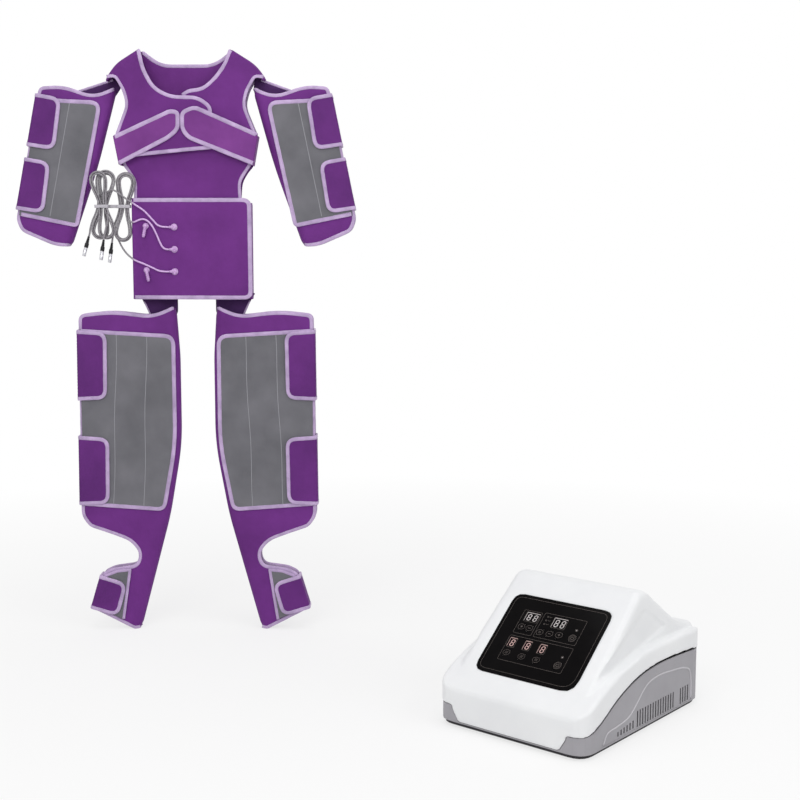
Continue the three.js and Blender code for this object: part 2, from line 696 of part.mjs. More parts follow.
function frontRightOutline() {
  const neckEdge = [
    [NECK_HALF - 14, 0.092, 16],
    [NECK_HALF - 42, 0.191, 20],
    [NECK_HALF - 74, 0.258, 16],
    [6, 0.27, 10],
    [-OVERLAP_RIGHT_REACH, 0.301, 4],
  ].map(([x, drop, r]) => [VEST_X + x, NECK_TOP - drop * TORSO, r]);
  return roundedOutline([
    ...onSide(1, armholeCorners()).reverse(),
    ...neckEdge,
    [VEST_X - OVERLAP_RIGHT_REACH, FRONT_BOTTOM - 4, 4],
    [VEST_X + CHEST_LOW_HALF + 3, FRONT_BOTTOM - 18, 6],
  ]);
}

function abdomenOutline() {
  const side = [
    [CHEST_LOW_HALF + 8, ABDOMEN_TOP, 6],
    [CHEST_LOW_HALF - 4, CHEST_LOW, 4],
    [CHEST_LOW_HALF - 16, CHEST_LOW - 17, 12],
    [WAIST_IN + 4, BELLY_CURVE, 16],
  ];
  const waist = [
    [WRAP_LEFT + WALL + GAP, WRAP_TOP + 10, 4],
    [WRAP_LEFT + WALL + GAP, WRAP_BOTTOM + 14, 6],
    [WRAP_RIGHT - WALL - GAP, WRAP_BOTTOM + 14, 6],
    [WRAP_RIGHT - WALL - GAP, WRAP_TOP + 10, 4],
  ];
  return roundedOutline([...onSide(-1, side), ...waist, ...onSide(1, side).reverse()]);
}

function buildStrap(side, label) {
  const tip = STRAP_END + (side > 0 ? STRAP_SPLIT : 0);
  const inward = (x) => side * (x - VEST_X);
  const corners = [
    [CHEST_HALF + 24, CHEST_TOP + (side > 0 ? 6 : 0), 2],
    [inward(side > 0 ? 20 : -44), CHEST_TOP + (side > 0 ? 78 : 68), 16],
    [inward(side > 0 ? -tip : -tip - 5), CHEST_TOP + 62, 16],
    [inward(side > 0 ? -tip : -tip - 5), CHEST_TOP + 14, 16],
    [inward(side > 0 ? 0 : -48), CHEST_TOP - 10, 14],
    [CHEST_LOW_HALF + 24, CHEST_LOW, 2],
  ];
  const low = [CHEST_LOW_HALF, CHEST_LOW];
  const high = [CHEST_HALF, CHEST_TOP];
  const strap = frontTab(side, VEST_X, low, high, corners, STRAP_BACK);
  addPiece(suit, `chest_strap_${label}`, strap, strapFabric);
}

function buildVest() {
  addPiece(suit, 'vest_back', surface(vestBack()), purpleFabric);
  const abdomenFront = ABDOMEN_BACK + ABDOMEN_THICKNESS;
  addPiece(suit, 'abdomen_panel', layer(abdomenOutline(), ABDOMEN_BACK, abdomenFront, 2), purpleFabric);
  const rightFront = FRONT_RIGHT_BACK + FRONT_THICKNESS;
  const rightPanel = layer(frontRightOutline(), FRONT_RIGHT_BACK, rightFront, 2);
  addPiece(suit, 'vest_front_right', rightPanel, purpleFabric);
  const leftFront = FRONT_LEFT_BACK + FRONT_THICKNESS;
  addPiece(suit, 'vest_front_left', layer(frontLeftOutline(), FRONT_LEFT_BACK, leftFront, 2), purpleFabric);
  buildStrap(-1, 'left');
  buildStrap(1, 'right');
}

// Waist wrap: a flap with a round fold that turns on its -X edge
function buildWrap() {
  const half = WRAP_THICKNESS / 2;
  const flap = solid(layer(roundedOutline([
    [WRAP_AXIS_X, WRAP_BOTTOM + 1, 0],
    [WRAP_AXIS_X, WRAP_TOP, 0],
    [WRAP_RIGHT, WRAP_TOP, WRAP_CORNER],
    [WRAP_RIGHT + 1, WRAP_BOTTOM, WRAP_CORNER],
  ]), WRAP_BACK, WRAP_FRONT, 2.5, 2));
  const fold = new THREE.CylinderGeometry(half, half, WRAP_TOP - WRAP_BOTTOM - 2, 14);
  fold.rotateX(Math.PI / 2);
  fold.translate(WRAP_AXIS_X, -WRAP_AXIS_DEPTH, (WRAP_TOP + WRAP_BOTTOM) / 2);
  addPiece(suit, 'waist_wrap', surface(flap.add(solid(fold))), purpleFabric);
}

// Lathe profile on +Z, from [radius, height] points that start and end on the axis
function turned(points, sides = 16) {
  const geometry = new THREE.LatheGeometry(points.map(([r, h]) => new THREE.Vector2(r, h)), sides);
  geometry.rotateX(Math.PI / 2);
  return surface(solid(geometry));
}

function buildGland(index) {
  const z = GLAND_TOP_Z - index * GLAND_PITCH;
  const boot = turned([
    [0, 0], [GLAND_RADIUS, 0], [GLAND_RADIUS, 2], [GLAND_RADIUS - 1.5, 4.5],
    [GLAND_RADIUS - 4, 7], [0, 8],
  ], 14);
  boot.rotateX(Math.PI / 2);
  const spout = turned([[0, 0], [4.2, 0], [3.6, GLAND_RADIUS + 4], [0, GLAND_RADIUS + 4]], 10);
  spout.rotateY(-Math.PI / 2);
  spout.translate(0, -4.6, 0);
  const gland = solid(boot).add(solid(spout));
  const mesh = addPiece(suit, `cable_gland_${index + 1}`, surface(gland), clearRubber);
  mesh.position.set(GLAND_X, -(WRAP_FRONT + GAP), z);
}

function buildNozzle(index) {
  const z = NOZZLE_TOP_Z - index * NOZZLE_PITCH;
  const r = NOZZLE_RADIUS;
  const base = turned([[0, 0], [8, 0], [8, 2], [r + 1, 3], [r + 1, 9], [r - 1, 11], [0, 11]], 12);
  base.rotateX(Math.PI / 2);
  const barbs = [[0, 0], [r, 0]];
  for (let i = 0; i < 2; i += 1) {
    const h = NOZZLE_LENGTH - 12 + i * 5;
    barbs.push([r - 1, h], [r + 0.6, h + 0.6], [r - 0.6, h + 4.6]);
  }
  barbs.push([r - 1.6, NOZZLE_LENGTH], [2.2, NOZZLE_LENGTH], [1.8, NOZZLE_LENGTH - 3]);
  barbs.push([0, NOZZLE_LENGTH - 3]);
  const stem = turned(barbs, 10);
  stem.rotateX(Math.PI);
  stem.rotateY(index === 0 ? 0.2 : -0.2);
  stem.translate(0, -6.5, 0);
  const mesh = addPiece(suit, `air_nozzle_${index + 1}`, surface(solid(base).add(solid(stem))), clearRubber);
  mesh.position.set(NOZZLE_X, -(WRAP_FRONT + GAP), z);
}

// Cables. Each hank is one unbroken tube: loops drawn in at the waist, in two layers.
const STEPS_PER_LOOP = 24;
const LOOPS = 3;
const HANK_AWAY = 76;
const HANK_NEAR = 19.5;
const HANK_Z = WRAP_TOP - 19;
const HANK_NEAR_Z = WRAP_TOP - 25;
const HANK_FRONT = WRAP_AXIS_DEPTH + 9.4;
const HANK_REAR = WRAP_AXIS_DEPTH - 2;
const HANK_MIDDLE = WRAP_AXIS_DEPTH + 3.4;

// Place and outward direction on the outline of the outermost loop, in steps of a turn
function loopPoint(step) {
  const k = ((step % STEPS_PER_LOOP) + STEPS_PER_LOOP) % STEPS_PER_LOOP;
  const edge = (height, sideways) => {
    const t = Math.PI * height / HANK_LOBE;
    const width = HANK_WAIST + (HANK_RADIUS - HANK_WAIST) * (1 - Math.cos(t)) / 2;
    const lean = (HANK_RADIUS - HANK_WAIST) * Math.PI / HANK_LOBE * Math.sin(t) / 2;
    const normal = new THREE.Vector2(1, -lean).normalize();
    return [sideways * width, height, sideways * normal.x, normal.y];
  };
  const bow = (angle, centre) => [
    HANK_RADIUS * Math.cos(angle), centre + HANK_RADIUS * Math.sin(angle),
    Math.cos(angle), Math.sin(angle),
  ];
  if (k < 3) return edge(HANK_LOBE * k / 3, 1);
  if (k < 9) return bow((k - 3) * Math.PI / 6, HANK_LOBE);
  if (k < 15) return edge(HANK_LOBE * (12 - k) / 3, -1);
  if (k < 21) return bow((k - 9) * Math.PI / 6, -HANK_LOBE);
  return edge(HANK_LOBE * (k - 24) / 3, 1);
}

// hank: middle, lean in degrees, up (+1) or down (-1) on its +X side, depth of its two layers
function hankPoint(hank, x, up, depth) {
  const lean = THREE.MathUtils.degToRad(hank.lean);
  return new THREE.Vector3(
    hank.x + x * Math.cos(lean) + up * Math.sin(lean),
    -depth,
    hank.z + up * Math.cos(lean) - x * Math.sin(lean),
  );
}

function hankRoute(hank) {
  const first = hank.firstStep;
  const last = hank.lastStep;
  const middle = LOOPS / 2;
  const points = [];
  for (let step = first; step <= last; step += 1) {
    const turn = step / STEPS_PER_LOOP;
    const inset = CABLE_PITCH * (middle - Math.abs(turn - middle));
    const climb = THREE.MathUtils.smoothstep(turn, middle - 0.25, middle + 0.25);
    const [x, up, nx, nup] = loopPoint(step);
    const depth = hank.depth + climb * hank.layerStep;
    points.push(hankPoint(hank, x - nx * inset, hank.up * (up - nup * inset), depth));
  }
  for (const [x, up, depth] of hank.tail) points.push(hankPoint(hank, x, up, depth));
  return points;
}

// A closed tube of even sections through the points, square to the route at both ends
function tube(points, radius, sides) {
  const positions = [];
  const indices = [];
  const tangents = points.map((p, i) => {
    const from = points[Math.max(i - 1, 0)];
    const to = points[Math.min(i + 1, points.length - 1)];
    return to.clone().sub(from).normalize();
  });
  let normal = new THREE.Vector3(0, 1, 0);
  points.forEach((point, i) => {
    normal = normal.sub(tangents[i].clone().multiplyScalar(normal.dot(tangents[i]))).normalize();
    const binormal = tangents[i].clone().cross(normal);
    for (let j = 0; j < sides; j += 1) {
      const angle = 2 * Math.PI * j / sides;
      const out = normal.clone().multiplyScalar(Math.cos(angle));
      out.add(binormal.clone().multiplyScalar(Math.sin(angle)));
      positions.push(...point.clone().add(out.multiplyScalar(radius)).toArray());
    }
  });
  for (let i = 0; i + 1 < points.length; i += 1) {
    for (let j = 0; j < sides; j += 1) {
      const a = i * sides + j;
      const b = i * sides + (j + 1) % sides;
      indices.push(a, b, b + sides, a, b + sides, a + sides);
    }
  }
  const end = (points.length - 1) * sides;
  for (let j = 1; j + 1 < sides; j += 1) {
    indices.push(0, j + 1, j);
    indices.push(end, end + j, end + j + 1);
  }
  const geometry = new THREE.BufferGeometry();
  geometry.setAttribute('position', new THREE.Float32BufferAttribute(positions, 3));
  geometry.setIndex(indices);
  return geometry;
}

// Least distance between two routes, or of one route to itself past its near neighbours
function leastGap(route, other, near) {
  const line = new THREE.Line3();
  const closest = new THREE.Vector3();
  let least = Infinity;
  route.forEach((point, i) => {
    for (let j = 0; j + 1 < other.length; j += 1) {
      const neighbour = route === other && Math.abs(j - i) <= near;
      if (neighbour) continue;
      line.set(other[j], other[j + 1]).closestPointToPoint(point, true, closest);
      least = Math.min(least, closest.distanceTo(point) - CABLE);
    }
  });
  return least;
}

const HANKS = [
  {
    x: WRAP_LEFT - HANK_AWAY, z: HANK_Z, lean: -8, up: -1, depth: HANK_FRONT, layerStep: CABLE_PITCH,
    firstStep: -1, lastStep: 72,
    tail: [
      [11.8, -10, 62.6], [14, -20, 65.4], [12.5, -32, 68.2], [8, -48, 68.6], [1, -64, 68.6],
      [-5, -80, 70], [-8.5, -92, 71],
    ],
  },
  {
    x: WRAP_LEFT - HANK_AWAY, z: HANK_Z, lean: 8, up: 1, depth: HANK_REAR, layerStep: CABLE_PITCH,
    firstStep: -1, lastStep: 87,
    tail: [[-26.6, -78, 50.3], [-28, -88, 50.3]],
  },
  {
    x: WRAP_LEFT - HANK_NEAR, z: HANK_NEAR_Z, lean: 5, up: 1, depth: HANK_MIDDLE, layerStep: -CABLE_PITCH,
    firstStep: -1, lastStep: 87,
    tail: [[-26.4, -78, 44.3], [-27, -88, 44.3], [-27.5, -96, 44.3]],
  },
];

// Free stretches from each gland to its hank, [x, height, depth], as they lie
const LEADS = [
  [
    [-66, 1107, 56.5], [-82, 1115, 55.2], [-100, 1133, 54.8], [-120, 1154, 54.8],
    [-140, 1168, 55.4], [-157, 1179, 56.2], [-174, 1191, 56.4], [-187, 1201, 56.4],
    [-197, 1207.5, 56.4], [-206.5, 1209.3, 56.3], [-214.5, 1205.6, 56.2],
  ],
  [
    [-66, 1050, 56.5], [-67.3, 1053.6, 56], [-73.6, 1059.6, 55.4], [-79.5, 1071, 54.9],
    [-87, 1089, 54.8], [-97, 1110, 54.8], [-109, 1125.5, 54.8], [-121.5, 1131.8, 54.8],
    [-133.5, 1130.5, 54.8], [-143.5, 1126, 54.8], [-151.5, 1124.1, 54.4], [-158.2, 1126.6, 53],
  ],
  [
    [-66, 990, 56.5], [-82, 994, 55.2], [-102, 1003, 54.8], [-124, 1013, 54.8],
    [-148, 1023, 54.6], [-166, 1036, 50], [-182, 1054, 41.5], [-194, 1076, 36.6],
    [-204, 1098, 36.2], [-212, 1121, 39],
  ],
];
const LEAD_OF_HANK = [0, 2, 1];

function buildPlug(index, route) {
  const end = route[route.length - 1];
  const before = route[route.length - 2];
  const direction = end.clone().sub(before).normalize();
  const length = PLUG_BOOT + PLUG_SHELL;
  const r = PLUG_RADIUS;
  const plug = turned([
    [0, 0], [CABLE / 2 + 0.7, 0], [r - 1.6, PLUG_BOOT - 12], [r, PLUG_BOOT - 8], [r, PLUG_BOOT],
    [r - 0.7, PLUG_BOOT], [r - 0.7, length], [r - 1.5, length], [r - 1.5, length - 2],
    [0, length - 2],
  ], 10);
  const mesh = addPiece(suit, `cable_plug_${index + 1}`, plug, nickelShell);
  mesh.quaternion.setFromUnitVectors(new THREE.Vector3(0, 0, 1), direction);
  mesh.position.copy(end).add(direction.multiplyScalar(GAP));
}

function buildCables() {
  const routes = HANKS.map(hankRoute);
  routes.forEach((route, i) => {
    addPiece(suit, `cable_hank_${i + 1}`, tube(route, CABLE / 2, HANK_SIDES), cableJacket);
    buildPlug(i, route);
    console.log(`hank ${i + 1} least gap ${leastGap(route, route, 4).toFixed(2)}`);
  });
  HANKS.forEach((_, i) => {
    const leadIndex = LEAD_OF_HANK[i];
    const route = routes[i];
    const direction = route[1].clone().sub(route[0]).normalize();
    const meet = route[0].clone().sub(direction.clone().multiplyScalar(GAP));
    const before = meet.clone().sub(direction.multiplyScalar(CABLE));
    const z = GLAND_TOP_Z - leadIndex * GLAND_PITCH;
    const depth = WRAP_FRONT + GAP + 4.6;
    const gland = GLAND_X - GLAND_RADIUS - 4 - GAP;
    const start = new THREE.Vector3(gland, -depth, z);
    const straight = new THREE.Vector3(gland - CABLE, -depth, z);
    const middle = LEADS[leadIndex].slice(1).map(([x, up, d]) => new THREE.Vector3(x, -d, up));
    const curve = new THREE.CatmullRomCurve3([start, straight, ...middle, before, meet], false, 'centripetal');
    const section = new THREE.Shape();
    section.absarc(0, 0, CABLE / 2, 0, 2 * Math.PI, false);
    const lead = new THREE.ExtrudeGeometry(section, {
      steps: Math.round(curve.getLength() / (2.4 * CABLE)),
      curveSegments: 4,
      extrudePath: curve,
      bevelEnabled: false,
    });
    addPiece(suit, `cable_lead_${leadIndex + 1}`, lead, cableJacket);
    const leadPoints = curve.getSpacedPoints(60);
    routes.forEach((other, j) => {
      const trimmed = j === i ? leadPoints.slice(0, -4) : leadPoints;
      const gap = leastGap(trimmed, other, 0).toFixed(2);
      console.log(`lead ${leadIndex + 1} to hank ${j + 1} gap ${gap}`);
    });
  });
  [[0, 1], [0, 2], [1, 2]].forEach(([a, b]) => {
    console.log(`hank ${a + 1} to hank ${b + 1} gap ${leastGap(routes[a], routes[b], 0).toFixed(2)}`);
  });
}

// The tie: a tape ring round each pair of waists, joined, and stitched to the fold of the wrap
function tieRing(left, right, back, front) {
  const outer = roundedOutline([
    [left - TIE_THICKNESS, -front - TIE_THICKNESS, 5],
    [left - TIE_THICKNESS, -back + TIE_THICKNESS, 5],
    [right + TIE_THICKNESS, -back + TIE_THICKNESS, 5],
    [right + TIE_THICKNESS, -front - TIE_THICKNESS, 5],
  ]);
  outer.holes.push(roundedOutline([
    [left, -front, 4], [right, -front, 4], [right, -back, 4], [left, -back, 4],
  ]));
  const ring = new THREE.ExtrudeGeometry(outer, { depth: TIE_HEIGHT, bevelEnabled: false, curveSegments: 4 });
  ring.translate(0, 0, (HANKS[0].z + HANKS[2].z) / 2 - TIE_HEIGHT / 2);
  return solid(ring);
}

function tieBar(left, right, depth) {
  const bar = new THREE.BoxGeometry(right - left, TIE_THICKNESS, TIE_HEIGHT);
  bar.translate((left + right) / 2, -depth, (HANKS[0].z + HANKS[2].z) / 2);
  return solid(bar);
}

function buildTie() {
  const leftReach = HANK_WAIST + CABLE_PITCH / 2 + CABLE / 2 + 2.8;
  const rightReach = HANK_WAIST + CABLE / 2 + 3;
  const near = (hank) => Math.min(hank.depth, hank.depth + hank.layerStep) - CABLE / 2 - 0.7;
  const far = (hank) => Math.max(hank.depth, hank.depth + hank.layerStep) + CABLE / 2 + 1.5;
  const [a, b, c] = HANKS;
  const first = tieRing(a.x - leftReach, a.x + rightReach, near(b), far(a));
  const second = tieRing(c.x - leftReach, c.x + rightReach, near(c), far(c));
  const tie = first
    .add(second)
    .add(tieBar(a.x + rightReach + 0.5, c.x - leftReach - 0.5, WRAP_AXIS_DEPTH))
    .add(tieBar(c.x + rightReach + 0.5, WRAP_LEFT - GAP, WRAP_AXIS_DEPTH));
  addPiece(suit, 'cable_tie', surface(tie), tieTape);
}

// Console. Profiles lie in Y and Z, and are extruded across the width.
function across(shape, half, edge, segments) {
  const turn = new THREE.Matrix4().makeBasis(
    new THREE.Vector3(0, 1, 0), new THREE.Vector3(0, 0, 1), new THREE.Vector3(1, 0, 0),
  );
  return eased(shape, -half, half, edge, segments).applyMatrix4(turn);
}

function roundedPrism(halfWidth, halfDepth, corner, low, high) {
  const shape = roundedOutline([
    [-halfWidth, -halfDepth, corner], [halfWidth, -halfDepth, corner],
    [halfWidth, halfDepth, corner], [-halfWidth, halfDepth, corner],
  ]);
  const geometry = new THREE.ExtrudeGeometry(shape, {
    depth: high - low, bevelEnabled: false, curveSegments: 5,
  });
  geometry.translate(0, 0, low);
  return solid(geometry);
}

const halfDepth = CONSOLE_DEPTH / 2;
const halfWidth = CONSOLE_WIDTH / 2;

// Side drawings: y as a share of half the depth from the front at -1, z as a share of the ridge
const drawn = (points) => points.map(([y, z, ...rest]) => [y * halfDepth, z * CONSOLE_RIDGE, ...rest]);

// Seam between the white cover and the grey case
const SEAM = drawn([
  [-1, 0.165], [-0.907, 0.1716], [-0.7326, 0.2211], [-0.4651, 0.3366],
  [-0.155, 0.4224], [0.1705, 0.4554], [0.5116, 0.4521], [1, 0.429],
]);
// Crease where the side of the cover turns in to the shoulder
const CREASE = drawn([
  [-0.969, 0.3102], [-0.7636, 0.4158], [-0.4651, 0.5149], [-0.1628, 0.5776],
  [0.1628, 0.5974], [0.5039, 0.5974], [0.9147, 0.5941],
]);

function seamPoints(drop) {
  return SEAM.map(([y, z]) => new THREE.Vector2(y, z - drop));
}

function shoulderProfile() {
  const shape = new THREE.Shape();
  shape.moveTo(-halfDepth, SEAM[0][1]);
  shape.lineTo(-halfDepth, NOSE_Z - 8);
  shape.lineTo(CREASE[0][0], CREASE[0][1]);
  shape.splineThru(CREASE.slice(1).map(([y, z]) => new THREE.Vector2(y, z)));
  shape.lineTo(halfDepth, 0.5545 * CONSOLE_RIDGE);
  shape.lineTo(halfDepth, SEAM[7][1]);
  shape.splineThru(seamPoints(0).reverse().slice(1));
  return shape;
}

function tentProfile() {
  const ridgeY = SLOPE_FOOT_Y + (CONSOLE_RIDGE - SLOPE_FOOT_Z) / Math.tan(slope);
  return roundedOutline([
    [-halfDepth + 4, SEAM[0][1] + 4, 0],
    [-halfDepth + 1, NOSE_Z, 8],
    [SLOPE_FOOT_Y, SLOPE_FOOT_Z, 14],
    [ridgeY, CONSOLE_RIDGE, 26],
    [ridgeY + 30, CONSOLE_RIDGE, 20],
    ...drawn([[0.7248, 0.6568, 40], [0.9767, 0.6205, 8], [0.9922, 0.5545, 4]]),
    [halfDepth - 4, SEAM[7][1] + 6, 0],
    [0, SEAM[5][1] + 4, 0],
  ]);
}

function coverSolid(segments) {
  const shoulder = across(shoulderProfile(), halfWidth, 7, segments);
  const tent = across(tentProfile(), TENT_HALF, TENT_ROUND, segments);
  const place = tent.getAttribute('position');
  for (let i = 0; i < place.count; i += 1) {
    const rise = (place.getZ(i) - SLOPE_FOOT_Z) / (CONSOLE_RIDGE - SLOPE_FOOT_Z);
    place.setX(i, place.getX(i) * (1 - TENT_TAPER * rise));
  }
  return solid(shoulder)
    .add(solid(tent))
    .intersect(roundedPrism(halfWidth, halfDepth, CONSOLE_CORNER, 0, CONSOLE_RIDGE + 10));
}

function sideRecess(side, backing) {
  const [centre, ...points] = drawn([
    [-0.054, 0.673], [0.1047, 0.8779, 14], [0.4729, 0.6766, 12], [-0.7364, 0.4686, 10],
  ]);
  const grow = 1 + backing * 0.05;
  const corners = points.map(([y, z, r]) => [
    centre[0] + (y - centre[0]) * grow, centre[1] + (z - centre[1]) * grow, r,
  ]);
  const cut = across(roundedOutline(corners), 20, 0, 1);
  cut.translate(side * (TENT_HALF * (1 - TENT_TAPER / 2) - RECESS_DEPTH - backing + 20), 0, 0);
  return solid(cut);
}

// On the slope: x across, y up the slope, z outwards
const slopeFrame = new THREE.Matrix4()
  .makeRotationX(slope)
  .setPosition(
    0, PANEL_CENTRE_Y,
    SLOPE_FOOT_Z + (PANEL_CENTRE_Y - SLOPE_FOOT_Y) * Math.tan(slope),
  );

function onSlope(geometry) {
  return geometry.applyMatrix4(slopeFrame);
}

function panelOutline(grow) {
  const x = PANEL_WIDTH / 2 + grow;
  const y = PANEL_LENGTH / 2 + grow;
  const r = PANEL_CORNER + grow;
  return roundedOutline([[-x, -y, r], [x, -y, r * 1.4], [x, y, r], [-x, y, r]]);
}

function plate(shape, low, high, edge = 0) {
  return eased(shape, low, high, edge, 1);
}

// Apron: the middle of the cover's front edge reaches down over the case
function apron(grow, back) {
  const shape = roundedOutline([
    [-APRON_TOP_HALF - grow, SEAM[0][1] + 12, 0],
    [-APRON_TOP_HALF - grow, SEAM[0][1] - 6, 4],
    [-APRON_LOW_HALF - grow, APRON_LOW - grow, 6],
    [APRON_LOW_HALF + grow, APRON_LOW - grow, 6],
    [APRON_TOP_HALF + grow, SEAM[0][1] - 6, 4],
    [APRON_TOP_HALF + grow, SEAM[0][1] + 12, 0],
  ]);
  const geometry = layer(shape, -back, halfDepth, 0);
  return solid(geometry);
}

function upperCover() {
  const outside = coverSolid(2);
  const scaleX = 1 - 2 * SHELL_WALL / CONSOLE_WIDTH;
  const scaleY = 1 - 2 * SHELL_WALL / CONSOLE_DEPTH;
  const inside = coverSolid(1)
    .scale([scaleX, scaleY, 1])
    .translate([0, 0, -SHELL_WALL * 1.6])
    .subtract(sideRecess(-1, SHELL_WALL))
    .subtract(sideRecess(1, SHELL_WALL));
  const panelSeat = onSlope(plate(panelOutline(GAP), -PANEL_THICKNESS - GAP, 20));
  return outside
    .subtract(inside)
    .add(apron(0, -(halfDepth - SHELL_WALL)))
    .subtract(sideRecess(-1, 0))
    .subtract(sideRecess(1, 0))
    .subtract(solid(panelSeat));
}

function caseProfile() {
  const shape = new THREE.Shape();
  const top = seamPoints(GAP);
  shape.moveTo(-halfDepth, CASE_BOTTOM);
  shape.lineTo(top[0].x, top[0].y);
  shape.splineThru(top.slice(1));
  shape.lineTo(halfDepth, CASE_BOTTOM);
  return shape;
}

function ventField(side) {
  const shape = roundedOutline(drawn([
    [-0.7287, 0.0528, 4], [-0.6512, 0.1386, 8], [-0.2868, 0.1518, 24], [-0.031, 0.33, 24],
    [0.1705, 0.3828, 30], [0.6744, 0.3366, 14], [0.7907, 0.2838, 10], [0.7984, 0.0495, 4],
  ]));
  const cut = across(shape, 10, 0, 1);
  cut.translate(side * (halfWidth - CASE_INSET - 1 + 10), 0, 0);
  return solid(cut);
}

function slot(y, low, high) {
  const geometry = new THREE.BoxGeometry(CONSOLE_WIDTH + 20, SLOT_WIDTH, high - low);
  geometry.translate(0, y, (low + high) / 2);
  return solid(geometry);
}

function lowerCase() {
  const w = halfWidth - CASE_INSET;
  const d = halfDepth - CASE_INSET;
  let body = solid(across(caseProfile(), w, 0, 1))
    .intersect(roundedPrism(w, d, CONSOLE_CORNER - CASE_INSET, CASE_BOTTOM, CONSOLE_RIDGE));
  const corner = CONSOLE_CORNER - SHELL_WALL - CASE_INSET;
  const floor = CASE_BOTTOM + SHELL_WALL;
  body = body.subtract(roundedPrism(w - SHELL_WALL, d - SHELL_WALL, corner, floor, CONSOLE_RIDGE));
  body = body.subtract(apron(GAP, -(halfDepth - SHELL_WALL - GAP)));
  body = body.subtract(ventField(-1)).subtract(ventField(1));
  for (let i = 0; i < SLOTS_TALL; i += 1) {
    body = body.subtract(slot(SLOTS_START_Y + i * SLOT_PITCH, SLOT_LOW, SLOT_HIGH));
  }
  for (let i = 0; i < SLOTS_REAR; i += 1) {
    const y = SLOTS_START_Y + (SLOTS_TALL + 2 + i) * SLOT_PITCH;
    body = body.subtract(slot(y, SLOT_LOW, SLOT_HIGH));
  }
  for (let i = 0; i < SLOTS_SHORT; i += 1) {
    const y = SLOTS_START_Y - (i + 1.5) * SLOT_PITCH * 1.1;
    body = body.subtract(slot(y, SLOT_LOW + 2, SLOT_SHORT + 4 - 1.5 * i));
  }
  const window = new THREE.BoxGeometry(REAR_PLATE_WIDTH - 24, 40, REAR_PLATE_HEIGHT - 10);
  window.translate(0, halfDepth, REAR_PLATE_Z);
  return body.subtract(solid(window));
}

function buildBase() {
  const edge = 8;
  let base = roundedPrism(
    halfWidth - edge, halfDepth - edge, CONSOLE_CORNER - edge, FOOT_HEIGHT, CASE_BOTTOM - GAP,
  );
  for (const x of [-1, 1]) {
    for (const y of [-1, 1]) {
      const foot = turned([
        [0, 0], [FOOT_PAD_RADIUS - 1, 0], [FOOT_PAD_RADIUS, 1],
        [FOOT_PAD_RADIUS, FOOT_HEIGHT + 1], [0, FOOT_HEIGHT + 1],
      ], 12);
      foot.translate(x * (halfWidth - 45), y * (halfDepth - 50), 0);
      base = base.add(solid(foot));
    }
  }
  addPiece(consoleGroup, 'console_base', surface(base), blackPlastic);
}

// Keys on the panel: name, across and up from the middle of the panel, as a share of its size
const KEYS = [
  ['key_programme_up', -0.269, 0.105],
  ['key_programme_down', -0.188, 0.105],
  ['key_mode', -0.073, 0.092],
  ['key_time_minus', 0.022, 0.092],
  ['key_time_plus', 0.117, 0.092],
  ['key_start_pressure', 0.25, 0.098],
  ['key_heat_arms', -0.275, -0.232],
  ['key_heat_belly', -0.117, -0.237],
  ['key_heat_legs', 0.031, -0.237],
  ['key_start_heat', 0.248, -0.243],
];

function buildPanel() {
  let glass = solid(plate(panelOutline(0), -PANEL_THICKNESS, 0.6, 0.5));
  KEYS.forEach(([name, sideways, up]) => {
    const x = sideways * PANEL_WIDTH;
    const y = up * PANEL_LENGTH;
    const hole = new THREE.CylinderGeometry(KEY_RADIUS + GAP, KEY_RADIUS + GAP, 12, 16);
    hole.rotateX(Math.PI / 2);
    hole.translate(x, y, 0);
    glass = glass.subtract(solid(hole));
    const low = -PANEL_THICKNESS + KEY_TRAVEL;
    const key = turned([
      [0, low], [KEY_RADIUS, low], [KEY_RADIUS, KEY_PROUD + 0.1], [KEY_RADIUS - 0.5, KEY_PROUD + 0.6],
      [0, KEY_PROUD + 0.6],
    ], 14);
    key.translate(x, y, 0);
    addPiece(consoleGroup, name, onSlope(key), blackGlass);
  });
  addPiece(consoleGroup, 'panel_glass', onSlope(surface(glass)), blackGlass);
}

